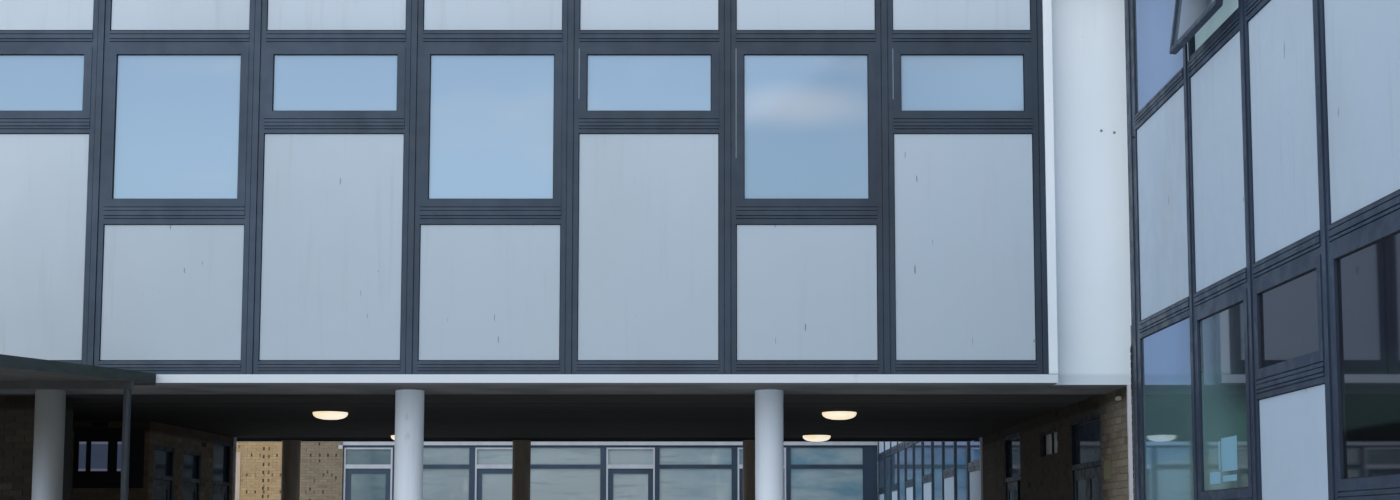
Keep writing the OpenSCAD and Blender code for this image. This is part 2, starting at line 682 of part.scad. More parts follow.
// Pale trims up the corners of the passage walls
module corner_trims() color(render_white) on_site() {
    t = 42;
    span([-t, pier_y, 0], [0, pier_y + t, soffit_z]);
    span([-t, passage_end_y - t, 0], [0, passage_end_y, inner_soffit_z]);
    span([west_wall_x, passage_end_y - t, 0], [west_wall_x + t, passage_end_y, inner_soffit_z]);
}

// Screen wall and lodge on the left of the passage
module screen_wall() color(brick_buff) on_site()
    span([link_end_x, 1900, 0], [-11500, 2150, inner_soffit_z]);
lodge_y = 5900;
lodge_window = [-12963, -11993, 2081, 2900];
module lodge_walls() color(brick_buff) on_site() {
    difference() {
        span([link_end_x, lodge_y, plinth_h], [west_wall_x, lodge_y + west_wall_t, inner_soffit_z]);
        span([lodge_window[0], lodge_y - 1, lodge_window[2]],
             [lodge_window[1], lodge_y + west_wall_t + 1, lodge_window[3]]);
    }
    span([link_end_x, door_e[1], plinth_h], [west_wall_x, passage_end_y, inner_soffit_z]);
}
lodge_lights = [[-12895, -12792], [-12730, -12497], [-12373, -12291]];
lodge_light_z = [2312, 2712];
module lodge_window_frame() color(dark_metal) on_site() difference() {
    span([lodge_window[0], lodge_y + 20, lodge_window[2]], [lodge_window[1], lodge_y + 80, lodge_window[3]]);
    for (l = lodge_lights)
        span([l[0], lodge_y, lodge_light_z[0]], [l[1], lodge_y + 100, lodge_light_z[1]]);
}
module lodge_window_glass() color(glass_blue) on_site()
    for (l = lodge_lights)
        span([l[0], lodge_y + 40, lodge_light_z[0]], [l[1], lodge_y + 60, lodge_light_z[1]]);
module lodge_floor() color(concrete_grey) on_site()
    span([link_end_x, lodge_y, 0], [west_wall_x, passage_end_y, plinth_h]);

// Lean-to canopy in front of the lodge: a roof that falls to the front, on two beams and four posts
canopy_left_x = canopy_x - canopy_w;
canopy_beam_w = 60;
canopy_beam_h = 80;
canopy_beam_ys = [-650, 300 - canopy_reach];
function canopy_under_z(y) = canopy_top_z - canopy_t + canopy_fall * (y + trim_out);
function canopy_beam_z(y) = canopy_under_z(y) - canopy_beam_h;
module canopy_profile(points) translate([canopy_left_x, 0, 0])
    rotate([90, 0, 90]) linear_extrude(canopy_w) polygon(points);
module canopy_roof() color("#2f3533") on_site() canopy_profile([
    [-trim_out, canopy_under_z(-trim_out)], [-trim_out, canopy_top_z],
    [-canopy_reach, canopy_under_z(-canopy_reach) + canopy_t], [-canopy_reach, canopy_under_z(-canopy_reach)]
]);
module canopy_beams() color("#2b2a29") on_site() for (y = canopy_beam_ys) {
    front = y - canopy_beam_w / 2;
    back = y + canopy_beam_w / 2;
    canopy_profile([
        [front, canopy_beam_z(y)], [front, canopy_under_z(front)],
        [back, canopy_under_z(back)], [back, canopy_beam_z(y)]
    ]);
}
module canopy_posts() color("#4a5560") on_site()
    for (x = [canopy_x - 50, canopy_left_x + 50], y = canopy_beam_ys)
        translate([x, y, 0]) cylinder(h = canopy_beam_z(y), d = post_d);

// Range across the courtyard
range_wall_x = -14222;
range_frame_d = 110;
module range_floor() color(concrete_grey) on_site() span([west_x, range_y, 0], [0, north_y, plinth_h]);
module range_back_wall() color(brick_buff) on_site()
    span([west_x, north_wall_y, plinth_h], [0, north_y, range_fascia_z]);
module range_brick_front() color(brick_buff) on_site()
    span([west_x, range_y, plinth_h], [range_wall_x, range_y + brick_t, range_fascia_z]);
range_lights = [for (k = [0:3]) let (x = range_wall_x + 25 + range_bay * k)
    each [[x, x + range_leaf_w], [x + range_leaf_w + 120, x + range_bay - 160]]];
range_sill_z = plinth_h + 120;
range_bar_z = [3198, 3305];
range_head_z = range_fascia_z - 60;
range_wide = [for (k = [1:2:7]) range_lights[k]];
range_narrow = [for (k = [0:2:6]) range_lights[k]];
// Pale frames and dark sashes of the narrow lights
pale_frame_w = 45;
pale_frame_out = 12;
range_sash_w = 134;
range_sash_face = 14;
range_pane_face = 40;
module range_hole(u0, u1, z0, z1, out)
    span([u0, range_y - out - 1, z0], [u1, range_y + range_frame_d + 1, z1]);
module range_pane(u0, u1, z0, z1)
    span([u0, range_y + range_pane_face, z0], [u1, range_y + range_pane_face + pane_t, z1]);
module range_front_frame() color(frame_blue) on_site() difference() {
    span([range_wall_x, range_y, plinth_h], [0, range_y + range_frame_d, range_fascia_z]);
    for (l = range_narrow) range_hole(l[0], l[1], range_sill_z, range_head_z, 0);
    for (l = range_wide) {
        range_hole(l[0], l[1], range_sill_z, range_bar_z[0], 0);
        range_hole(l[0], l[1], range_bar_z[1], range_head_z, 0);
    }
}
module range_pale_frames() color("#a9b3bd") on_site() for (l = range_narrow) difference() {
    span([l[0], range_y - pale_frame_out, range_sill_z], [l[1], range_y + range_frame_d, range_head_z]);
    for (z = [[range_sill_z + pale_frame_w, range_bar_z[0]], [range_bar_z[1], range_head_z - pale_frame_w]])
        range_hole(l[0] + pale_frame_w, l[1] - pale_frame_w, z[0], z[1], pale_frame_out);
}
module range_sashes() color(dark_metal) on_site() translate([0, range_y, 0]) for (l = range_narrow)
    ring(l[0] + pale_frame_w, l[1] - pale_frame_w, range_sill_z + pale_frame_w, range_bar_z[0],
         range_sash_w, range_sash_face, range_frame_d - range_sash_face);
module range_front_glass() color(glass_blue) on_site() {
    for (l = range_wide) {
        range_pane(l[0], l[1], range_sill_z, range_bar_z[0]);
        range_pane(l[0], l[1], range_bar_z[1], range_head_z);
    }
    for (l = range_narrow) {
        edge = pale_frame_w + range_sash_w;
        range_pane(l[0] + edge, l[1] - edge, range_sill_z + edge, range_bar_z[0] - range_sash_w);
        range_pane(l[0] + pale_frame_w, l[1] - pale_frame_w, range_bar_z[1], range_head_z - pale_frame_w);
    }
}
module range_roof() color(concrete_grey) on_site()
    span([west_x, range_y, range_fascia_z], [0, north_y, range_fascia_z + 240]);
module range_fascia() color(render_white) on_site()
    span([west_x, range_y - 60, range_fascia_z], [0, range_y, range_fascia_z + range_fascia_h]);

link_columns();
link_edge_beams();
link_floor_slab();
link_soffit();
link_soffit_lights();
link_front_mullions();
link_front_transoms();
link_front_panels();
link_front_casements();
link_front_glass();
link_white_trim();
link_roof();
rendered_piers();
party_walls();
parapets();
copings();
back_frames();
back_panels();
back_glass();
wing_ground_floor();
wing_first_floor();
wing_roof();
wing_west_mullions();
wing_west_transoms();
wing_west_panels();
wing_west_casements();
wing_west_glass();
passage_east_wall();
passage_west_wall();
door_lintels();
door_jambs();
door_heads();
high_window_frame();
passage_glass();
corner_trims();
door_a_left();
door_a_right();
door_b_leaf();
door_c_leaf();
door_d_leaf();
door_e_leaf();
door_pivots();
screen_wall();
lodge_walls();
lodge_window_frame();
lodge_window_glass();
lodge_floor();
canopy_roof();
canopy_beams();
canopy_posts();
range_floor();
range_back_wall();
range_brick_front();
range_front_frame();
range_pale_frames();
range_sashes();
range_front_glass();
range_roof();
range_fascia();
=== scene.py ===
"""Looks of the school building: finishes, brickwork and small fittings round its modelled solids.

Metres, in the row frame. Places come from the model's nodes, or are given on site axes, whose origin is
where the wing's glazed face meets the front face of the block over the passage, at ground level. Names of
sizes end in _L for length, _W for width, _H for height, _T for thickness and _R for radius.
"""

import math
import random

import bmesh
import bpy
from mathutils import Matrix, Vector
from mathutils.bvhtree import BVHTree


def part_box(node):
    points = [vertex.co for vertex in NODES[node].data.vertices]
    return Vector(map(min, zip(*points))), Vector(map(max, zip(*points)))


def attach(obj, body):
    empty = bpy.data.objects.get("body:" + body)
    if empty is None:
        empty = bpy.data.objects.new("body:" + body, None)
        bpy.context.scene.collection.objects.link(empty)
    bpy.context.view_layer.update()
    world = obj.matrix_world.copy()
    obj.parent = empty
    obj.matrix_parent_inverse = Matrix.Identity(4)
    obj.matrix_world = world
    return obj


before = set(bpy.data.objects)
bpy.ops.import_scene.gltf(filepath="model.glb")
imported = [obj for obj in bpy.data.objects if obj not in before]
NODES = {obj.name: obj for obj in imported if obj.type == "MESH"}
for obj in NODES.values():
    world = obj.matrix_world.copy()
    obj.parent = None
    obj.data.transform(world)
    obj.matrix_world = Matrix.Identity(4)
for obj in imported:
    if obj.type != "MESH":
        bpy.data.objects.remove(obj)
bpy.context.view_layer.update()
BUILDING = "building"

SITE_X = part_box("wing_west_mullions")[0].x
SITE_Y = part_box("link_front_mullions")[0].y


def site(x, y, z):
    """A point given on site axes, in the row frame."""
    return Vector((x + SITE_X, y + SITE_Y, z))


def along_y(start, end):
    """Two places along the y axis of the site, in the row frame."""
    return SITE_Y + start, SITE_Y + end


# Camera and light

EYE = site(-4.168, -16.444, 1.460)
LENS, SENSOR = 42.36, 36
TILT = math.radians(5.0)
SHIFT = (-0.0150, 0.100)
HAZE = (0.80, 0.86, 0.92)
ZENITH = (0.50, 0.64, 0.84)
FILL = (0.93, 0.96, 1.0)
FILL_STRENGTH = 0.86
SUN_STRENGTH = 1.25
SUN_SPREAD = math.radians(75)
SUN_TURN = (math.radians(48), 0, math.radians(-28))
FLOOR_SIZE, FLOOR_DROP = 2400, 0.004
FLOOR_COLOUR = (0.74, 0.76, 0.78)

# Sockets of a mix of two colours
LOW, HIGH, MIXED = 6, 7, 2


def make_camera():
    """An eye-level camera in front of the block, tilted up a little."""
    camera = bpy.data.objects.new("camera", bpy.data.cameras.new("camera"))
    bpy.context.scene.collection.objects.link(camera)
    camera.location = EYE
    camera.rotation_euler = (math.pi / 2 + TILT, 0, 0)
    camera.data.sensor_width = SENSOR
    camera.data.lens = LENS
    camera.data.shift_x, camera.data.shift_y = SHIFT
    camera.data.clip_end = FLOOR_SIZE
    bpy.context.scene.camera = camera


def make_world():
    """A pale sky that the camera and the gloss see, and a plain soft fill that lights the rest."""
    world = bpy.data.worlds.new("sky")
    world.use_nodes = True
    bpy.context.scene.world = world
    nodes, links = world.node_tree.nodes, world.node_tree.links
    seen = nodes["Background"]
    fill = nodes.new("ShaderNodeBackground")
    fill.inputs["Color"].default_value = (*FILL, 1)
    fill.inputs["Strength"].default_value = FILL_STRENGTH
    height = nodes.new("ShaderNodeSeparateXYZ")
    links.new(nodes.new("ShaderNodeTexCoord").outputs["Generated"], height.inputs[0])
    sky = nodes.new("ShaderNodeMix")
    sky.data_type = "RGBA"
    links.new(height.outputs["Z"], sky.inputs[0])
    sky.inputs[LOW].default_value = (*HAZE, 1)
    sky.inputs[HIGH].default_value = (*ZENITH, 1)
    links.new(sky.outputs[MIXED], seen.inputs["Color"])
    path = nodes.new("ShaderNodeLightPath")
    shown = path.outputs["Is Camera Ray"]
    for ray in ("Is Glossy Ray", "Is Transmission Ray"):
        either = nodes.new("ShaderNodeMath")
        either.operation = "MAXIMUM"
        links.new(shown, either.inputs[0])
        links.new(path.outputs[ray], either.inputs[1])
        shown = either.outputs[0]
    choice = nodes.new("ShaderNodeMixShader")
    links.new(shown, choice.inputs[0])
    links.new(fill.outputs[0], choice.inputs[1])
    links.new(seen.outputs[0], choice.inputs[2])
    links.new(choice.outputs[0], nodes["World Output"].inputs["Surface"])


def make_lights():
    """One wide, soft sun, for the light of a pale sky."""
    sun = bpy.data.objects.new("sun", bpy.data.lights.new("sun", "SUN"))
    bpy.context.scene.collection.objects.link(sun)
    sun.data.energy = SUN_STRENGTH
    sun.data.angle = SUN_SPREAD
    sun.rotation_euler = SUN_TURN


def make_floor(finish):
    half = FLOOR_SIZE / 2
    corners = [(-half, -half, 0), (half, -half, 0), (half, half, 0), (-half, half, 0)]
    mesh = bpy.data.meshes.new("floor")
    mesh.from_pydata(corners, [], [(0, 1, 2, 3)])
    mesh.materials.append(finish)
    floor = bpy.data.objects.new("floor", mesh)
    floor.location.z = -FLOOR_DROP
    bpy.context.scene.collection.objects.link(floor)


# Finishes

NO_TINT = (1.0, 1.0, 1.0)
SITE_START = {"X": SITE_X, "Y": SITE_Y, "Z": 0.0}


class Finish:
    """A procedural material: each method adds one step of nodes and returns its output."""

    def __init__(self, name, roughness=0.5, metallic=0.0, specular=0.5):
        self.material = bpy.data.materials.new(name)
        self.material.use_nodes = True
        self.tree = self.material.node_tree
        self.shader = self.tree.nodes["Principled BSDF"]
        self.shader.inputs["Roughness"].default_value = roughness
        self.shader.inputs["Metallic"].default_value = metallic
        self.shader.inputs["Specular IOR Level"].default_value = specular
        self.place = self.add("ShaderNodeTexCoord").outputs["Object"]

    def add(self, kind, **settings):
        node = self.tree.nodes.new(kind)
        for name, value in settings.items():
            setattr(node, name, value)
        return node

    def wire(self, source, target):
        self.tree.links.new(source, target)

    def stretched(self, scale):
        mapping = self.add("ShaderNodeMapping")
        mapping.inputs["Scale"].default_value = scale
        self.wire(self.place, mapping.inputs["Vector"])
        return mapping.outputs[0]

    def ranged(self, value, low, high, to_low=0.0, to_high=1.0):
        step = self.add("ShaderNodeMapRange", interpolation_type="SMOOTHSTEP")
        self.wire(value, step.inputs["Value"])
        numbers = {"From Min": low, "From Max": high, "To Min": to_low, "To Max": to_high}
        for name, number in numbers.items():
            step.inputs[name].default_value = number
        return step.outputs[0]

    def noise(self, scale, low=0.35, high=0.65, stretch=(1, 1, 1), detail=3.0, top=1.0):
        texture = self.add("ShaderNodeTexNoise")
        texture.inputs["Scale"].default_value = scale
        texture.inputs["Detail"].default_value = detail
        self.wire(self.stretched(stretch), texture.inputs["Vector"])
        return self.ranged(texture.outputs["Fac"], low, high, 0.0, top)

    def along(self, axis, low, high):
        """0 to 1 between two places on a site axis."""
        axes = self.add("ShaderNodeSeparateXYZ")
        self.wire(self.place, axes.inputs[0])
        start = SITE_START[axis]
        return self.ranged(axes.outputs[axis], start + low, start + high)

    def facing_up(self, low, high, top=1.0):
        axes = self.add("ShaderNodeSeparateXYZ")
        self.wire(self.add("ShaderNodeNewGeometry").outputs["Normal"], axes.inputs[0])
        return self.ranged(axes.outputs["Z"], low, high, 0.0, top)

    def tone(self):
        return self.add("ShaderNodeAttribute", attribute_name="tone").outputs["Fac"]

    def spot(self, centre, reach):
        """1 at a place, falling to 0 at its reach along each axis."""
        offset = self.add("ShaderNodeVectorMath", operation="SUBTRACT")
        self.wire(self.place, offset.inputs[0])
        offset.inputs[1].default_value = centre
        share = self.add("ShaderNodeVectorMath", operation="DIVIDE")
        self.wire(offset.outputs[0], share.inputs[0])
        share.inputs[1].default_value = reach
        size = self.add("ShaderNodeVectorMath", operation="LENGTH")
        self.wire(share.outputs[0], size.inputs[0])
        return self.ranged(size.outputs["Value"], 0.0, 1.0, 1.0, 0.0)

    def mix(self, low, high, factor, blend="MIX"):
        step = self.add("ShaderNodeMix", data_type="RGBA", blend_type=blend)
        for socket, value in ((LOW, low), (HIGH, high)):
            if isinstance(value, tuple):
                step.inputs[socket].default_value = (*value, 1)
            else:
                self.wire(value, step.inputs[socket])
        if isinstance(factor, float):
            step.inputs[0].default_value = factor
        else:
            self.wire(factor, step.inputs[0])
        return step.outputs[MIXED]

    def times(self, colour, tint):
        return self.mix(colour, tint, 1.0, "MULTIPLY")

    def ramp(self, value, stops):
        step = self.add("ShaderNodeValToRGB")
        while len(step.color_ramp.elements) < len(stops):
            step.color_ramp.elements.new(0.5)
        for element, (position, colour) in zip(step.color_ramp.elements, stops):
            element.position = position
            element.color = (*colour, 1)
        self.wire(value, step.inputs[0])
        return step.outputs[0]

    def paint(self, colour):
        self.wire(colour, self.shader.inputs["Base Color"])

    def glow(self, colour):
        self.shader.inputs["Emission Color"].default_value = (*colour, 1)
        self.shader.inputs["Emission Strength"].default_value = 1.0

    def gloss(self, value, low, high):
        self.wire(self.ranged(value, 0, 1, low, high), self.shader.inputs["Roughness"])

    def bump(self, value, depth, strength=1.0):
        step = self.add("ShaderNodeBump")
        step.inputs["Distance"].default_value = depth
        step.inputs["Strength"].default_value = strength
        self.wire(value, step.inputs["Height"])
        self.wire(step.outputs[0], self.shader.inputs["Normal"])


def tinted(colour, tint):
    """A colour times a tint, both plain numbers."""
    return tuple(a * b for a, b in zip(colour, tint))


def slate_paint(name, dark, light, specular=0.5):
    """Satin powder coat, streaked by rain, darker towards the inner corner in painted shade, lighter at its
    far end and on its ledges in painted light.
    """
    f = Finish(name, 0.42, 0.0, specular)
    base = f.mix(dark, light, f.noise(1.7, 0.3, 0.7, (1, 1, 0.35)))
    base = f.mix(base, (0.075, 0.100, 0.130), f.noise(9, 0.60, 0.85, (1, 1, 0.12), 4, 0.18))
    # Painted shade: darker towards the inner corner and over the whole wing, with painted light at the far
    # end of the front
    tint = f.mix((0.93, 1.08, 1.14), (0.54, 0.64, 0.72), f.along("X", -10.5, -2.5))
    base = f.times(base, tint)
    # Painted light: faces that look up are lighter
    f.paint(f.mix(base, (0.115, 0.150, 0.195), f.facing_up(0.25, 0.95, 0.6)))
    f.gloss(f.noise(6), 0.36, 0.52)
    f.bump(f.noise(900, 0.3, 0.7), 0.0003, 0.5)
    return f.material


def infill_panel(name, low, high):
    """Pale blue-grey panels with a fine stipple, faint runs and a few dark scratches, and with painted
    light: lighter towards the top and towards the far left end.
    """
    f = Finish(name, 0.5, 0.0, 0.4)
    # Painted light: lighter towards the top of the front and towards its far left end
    body = f.mix(low, high, f.along("Z", 3.0, 6.6))
    body = f.mix(body, (0.475, 0.560, 0.660), f.along("Z", 6.5, 6.9))
    body = f.mix((0.520, 0.610, 0.705), body, f.along("X", -13.0, -8.5))
    body = f.mix(body, (0.36, 0.43, 0.50), f.noise(0.55, 0.45, 0.75, (1, 1, 0.6), 4, 0.45))
    body = f.mix(body, (0.31, 0.37, 0.42), f.noise(14, 0.55, 0.80, (1, 1, 0.06), 3, 0.28))
    body = f.mix(body, (0.46, 0.54, 0.62), f.noise(240, 0.45, 0.75, detail=1, top=0.25))
    scratch = f.noise(17, 0.765, 0.785, (1.4, 1, 0.25), 1.5, 0.7)
    scratched = f.mix(body, (0.10, 0.11, 0.12), scratch)
    f.paint(f.mix(scratched, body, f.along("Z", 6.4, 6.5)))
    f.gloss(f.noise(3), 0.42, 0.58)
    f.bump(f.noise(420, 0.3, 0.7, detail=2), 0.0008, 0.5)
    return f.material


def white_render():
    """Smooth white render with rain streaks, darker towards the bottom, and fine sand; with painted shade
    on the front of its parts below the trim's top and on its undersides, and painted light beside the
    wing's corner.
    """
    f = Finish("white_render", 0.82, 0.0, 0.3)
    body = f.mix((0.60, 0.70, 0.80), (0.74, 0.81, 0.89), f.along("Z", 2.9, 5.2))
    body = f.mix(body, (0.58, 0.65, 0.72), f.noise(5, 0.55, 0.85, (1, 1, 0.08), 5, 0.45))
    body = f.mix(body, (0.80, 0.86, 0.91), f.noise(0.8, 0.45, 0.75, (1, 1, 0.5), 4, 0.5))
    # Painted shade: the front of the parts below the trim's top is darker and bluer
    shaded = f.mix((0.55, 0.62, 0.70), body, f.along("Y", 0.4, 0.9))
    body = f.mix(shaded, body, f.along("Z", 3.05, 3.10))
    # Painted light: lighter beside the wing's corner
    tint = f.mix(NO_TINT, (1.12, 1.13, 1.11), f.along("X", -0.75, -0.15))
    body = f.times(body, tint)
    body = f.mix(body, (0.42, 0.44, 0.46), f.noise(16, 0.72, 0.82, (1, 1, 0.5), 2, 0.35))
    # Painted shade: faces that look down are dark
    f.paint(f.mix((0.17, 0.18, 0.20), body, f.facing_up(-0.9, -0.5)))
    f.bump(f.noise(160, 0.3, 0.7), 0.0012, 0.5)
    return f.material


def painted_sky_glass():
    """Panes with a painted reflection of the sky: blue, with soft banks of cloud."""
    f = Finish("painted_sky_glass", 0.06, 0.15, 0.35)
    # Painted reflection of the sky, with its clouds
    sky = f.mix((0.283, 0.416, 0.556), (0.240, 0.363, 0.509), f.along("Z", 4.9, 6.4))
    sky = f.mix(sky, (0.335, 0.475, 0.625), f.along("X", -3.2, -1.0))
    sky = f.mix(sky, (0.355, 0.430, 0.530), f.noise(0.62, 0.50, 0.72, (0.8, 1, 1.7), 2.5, 0.55))
    # Painted reflection of a bright cloud
    f.paint(f.mix(sky, (0.430, 0.500, 0.590), f.spot(site(-3.35, 0, 5.80), (1.1, 1, 0.34))))
    f.bump(f.noise(0.9, 0, 1, detail=1), 0.004, 0.15)
    return f.material


def wing_glass():
    """Panes with a painted reflection: a blue mirror near the inner corner and in the court, dim and clear
    further out.

    Further out, a painted view of the dim rooms shows in painted shade, with a green wall low down in the
    first rooms.
    """
    f = Finish("wing_glass", 0.03, 0.0, 0.8)
    f.shader.inputs["Specular Tint"].default_value = (0.62, 0.64, 1.0, 1)
    # Painted shade: a dim view of the rooms behind the panes; the green wall low down in the first rooms is
    # the wall's own colour
    room = f.mix((0.004, 0.006, 0.007), (0.018, 0.031, 0.033), f.along("Z", 2.13, 2.18))
    green = f.mix((0.030, 0.062, 0.060), (0.060, 0.125, 0.118), f.along("Z", 2.13, 2.18))
    room = f.mix(room, green, f.along("Y", -3.6, -3.4))
    room = f.mix(room, (0.009, 0.011, 0.018), f.along("Z", 2.30, 2.75))
    # Painted reflection: its colours change with height
    coat = f.mix((0.38, 0.63, 0.59), (0.28, 0.54, 0.58), f.along("Z", 2.12, 2.17))
    coat = f.mix(coat, (0.265, 0.410, 0.495), f.along("Z", 2.75, 2.95))
    coat = f.mix(coat, (0.305, 0.445, 0.505), f.along("Z", 3.4, 4.5))
    # The painted reflection shows near the inner corner and in the court, the painted rooms further out
    mirror = f.along("Y", -3.5, -1.0)
    f.paint(f.mix(room, coat, mirror))
    f.wire(f.ranged(mirror, 0, 1, 0.0, 0.72), f.shader.inputs["Metallic"])
    f.bump(f.noise(0.8, 0, 1, detail=1), 0.004, 0.10)
    return f.material


def shade_glass(name, low, high):
    """Clear panes over a dim room, in the shade of the passage."""
    f = Finish(name, 0.05, 0.0, 0.03)
    body = f.mix(low, high, f.noise(0.5, 0.35, 0.7, (1, 1, 0.7)))
    # Painted reflection: a pale patch on the window in the passage's right wall
    f.paint(f.mix(body, (0.52, 0.53, 0.46), f.spot(site(0.07, 4.6, 2.6), (0.2, 0.9, 0.5))))
    f.bump(f.noise(0.8, 0, 1, detail=1), 0.004, 0.12)
    return f.material


def day_glass(name, colour, glow):
    """Panes with a painted glow for the daylight from the far side of the room behind them."""
    f = Finish(name, 0.05, 0.0, 0.2)
    f.paint(f.mix(tinted(colour, (0.7, 0.7, 0.8)), colour, f.noise(1.5, 0.35, 0.7)))
    # Painted light: a glow for the daylight through the room, though the panes are no lamp
    f.glow(glow)
    return f.material


def court_glass():
    """The range's panes: teal-grey, with pale blinds and folds showing through."""
    f = Finish("court_glass", 0.05, 0.0, 0.7)
    body = f.mix((0.185, 0.240, 0.270), (0.290, 0.345, 0.365), f.along("X", -13, -9))
    body = f.mix(body, (0.120, 0.230, 0.300), f.along("X", -6.5, -3))
    body = f.mix(body, (0.300, 0.370, 0.395), f.noise(0.9, 0.3, 0.7, (1, 1, 2.6), 3, 0.8))
    body = f.mix(body, (0.400, 0.450, 0.460), f.noise(1.3, 0.56, 0.76, (1.6, 1, 0.7), 2, 0.5))
    body = f.mix(body, (0.15, 0.22, 0.26), f.noise(2.2, 0.55, 0.75, (0.4, 1, 4), 2, 0.5))
    first_light = f.mix((0.46, 0.55, 0.58), NO_TINT, f.along("X", -13.0, -12.8))
    f.paint(f.times(body, first_light))
    return f.material


BRICK_STOPS = [
    (0.00, (0.030, 0.026, 0.022)), (0.05, (0.075, 0.058, 0.040)), (0.10, (0.200, 0.150, 0.090)),
    (0.45, (0.300, 0.228, 0.140)), (0.75, (0.350, 0.268, 0.165)), (1.00, (0.410, 0.325, 0.210)),
]


def brick(f):
    """The colour of buff stocks, each with its own tone, mottled and pitted."""
    body = f.ramp(f.tone(), BRICK_STOPS)
    body = f.mix(body, (0.143, 0.110, 0.072), f.noise(38, 0.5, 0.75, detail=4, top=0.55))
    return f.mix(body, (0.33, 0.31, 0.27), f.noise(0.9, 0.5, 0.8, detail=3, top=0.35))


def mortar(f):
    return f.mix((0.20, 0.175, 0.14), (0.29, 0.26, 0.215), f.noise(30, 0.3, 0.7, detail=4))


def court_masonry(name, kind):
    """Masonry round the court, with painted light and shade: warm where lit at its open end and greyer in
    painted shade beside the range's windows.
    """
    f = Finish(name, 0.9, 0.0, 0.2)
    # Painted light and shade: warm where lit at the open end and on the range's back wall, greyer in shade
    # beside the range's windows
    warm = (1.28, 1.20, 1.07)
    tint = f.mix(warm, (0.70, 0.76, 0.86), f.along("X", -15.6, -15.2))
    tint = f.mix(tint, warm, f.along("Y", 28.5, 30.5))
    f.paint(f.times(kind(f), tint))
    f.bump(f.noise(120, 0.3, 0.7), 0.002, 0.8)
    return f.material


def passage_masonry(name, kind):
    """Masonry of the passage, in painted light and shade: brown where lit at its mouth, darker in painted
    shade behind the screen and further in, and with a painted shadow under the ceiling.
    """
    f = Finish(name, 0.9, 0.0, 0.2)
    # Painted light and shade: lit at the mouth, darker behind the screen and along the right wall, lighter
    # again far in on the left
    left = f.mix((0.125, 0.142, 0.160), (0.47, 0.46, 0.49), f.along("Y", 3.0, 5.0))
    deep = f.mix(left, (0.17, 0.18, 0.20), f.along("X", -11.0, -6.0))
    tint = f.mix((0.74, 0.85, 1.05), deep, f.along("Y", 0.8, 2.0))
    # Painted shadow: a dark band under the ceiling
    painted_head_shade = f.mix(NO_TINT, (0.42, 0.38, 0.34), f.along("Z", 2.82, 2.88))
    f.paint(f.times(f.times(kind(f), tint), painted_head_shade))
    f.bump(f.noise(120, 0.3, 0.7), 0.002, 0.8)
    return f.material


def column_paint():
    """Pale masonry paint on the front row of concrete columns, with painted shade from the canopy over the
    tops of the columns under it and a dark patch of painted shade and stains down the right side of the
    nearest of them; the back row is bare and brown.
    """
    f = Finish("column_paint", 0.7, 0.0, 0.3)
    body = f.mix((0.66, 0.74, 0.84), (0.74, 0.81, 0.89), f.noise(2.2, 0.3, 0.7, (1, 1, 0.25), 4))
    body = f.mix(body, (0.52, 0.58, 0.65), f.noise(22, 0.5, 0.8, (1, 1, 0.05), 3, 0.35))
    body = f.mix(body, (0.40, 0.42, 0.43), f.noise(4.5, 0.66, 0.74, (1, 1, 0.6), 5, 0.45))
    bare = f.mix((0.18, 0.148, 0.116), (0.29, 0.240, 0.186), f.noise(3, 0.3, 0.7, (1, 1, 0.2), 4))
    # Painted shade: the columns under the canopy darker towards their tops
    painted_canopy_shade = f.mix((0.180, 0.190, 0.178), body, f.along("X", -10.6, -10.2))
    body = f.mix(body, painted_canopy_shade, f.along("Z", 1.4, 2.75))
    # Painted shade with dark stains: a dark patch down the right side of the nearest column under the
    # canopy
    body = f.mix(body, (0.22, 0.23, 0.225), f.spot(site(-11.10, 0.9, 2.0), (0.18, 1.0, 2.5)))
    f.paint(f.mix(body, bare, f.along("Y", 4.0, 4.5)))
    f.bump(f.noise(30, 0.3, 0.7, (1, 1, 0.04)), 0.0015, 0.6)
    return f.material


def plain_concrete():
    dark, light = (0.20, 0.215, 0.22), (0.30, 0.315, 0.32)
    f = Finish("fair_concrete", 0.85, 0.0, 0.3)
    body = f.mix(dark, light, f.noise(1.4, 0.3, 0.7, detail=5))
    f.paint(f.mix(body, dark, f.noise(60, 0.5, 0.8, detail=3, top=0.5)))
    f.bump(f.noise(150, 0.3, 0.7), 0.001, 0.6)
    return f.material


def soffit_margin():
    """Fair concrete along the edges of the passage's ceiling, darker on its far side in painted shade."""
    f = Finish("soffit_margin", 1.0, 0.0, 0.0)
    body = f.mix((0.115, 0.120, 0.126), (0.175, 0.175, 0.173), f.noise(1.4, 0.3, 0.7, detail=5))
    # Painted shade: darker on the far side of the passage
    painted_far_shade = f.mix(NO_TINT, (0.14, 0.14, 0.14), f.along("Y", 3.0, 5.0))
    f.paint(f.times(body, painted_far_shade))
    f.bump(f.noise(150, 0.3, 0.7), 0.001, 0.6)
    return f.material


def soffit_board():
    """Dark stained ceiling boards, in painted light: lighter towards the passage's mouth and by the wing's
    corner.
    """
    f = Finish("soffit_board", 0.95, 0.0, 0.05)
    body = f.mix((0.009, 0.0088, 0.009), (0.014, 0.0134, 0.013), f.noise(3, 0.3, 0.7, (0.3, 3, 1), 4))
    body = f.mix(body, (0.020, 0.018, 0.016), f.tone())
    # Painted light: lighter towards the passage's mouth
    body = f.times(body, f.mix((2.9, 3.0, 3.2), (1.10, 1.05, 1.05), f.along("Y", 1.5, 6.0)))
    # Painted light: lighter by the wing's corner
    painted_corner_light = f.mix(NO_TINT, (1.5, 1.5, 1.5), f.along("X", -4.0, -1.5))
    f.paint(f.times(body, painted_corner_light))
    f.bump(f.noise(60, 0.3, 0.7, (0.1, 1, 1)), 0.001, 0.6)
    return f.material


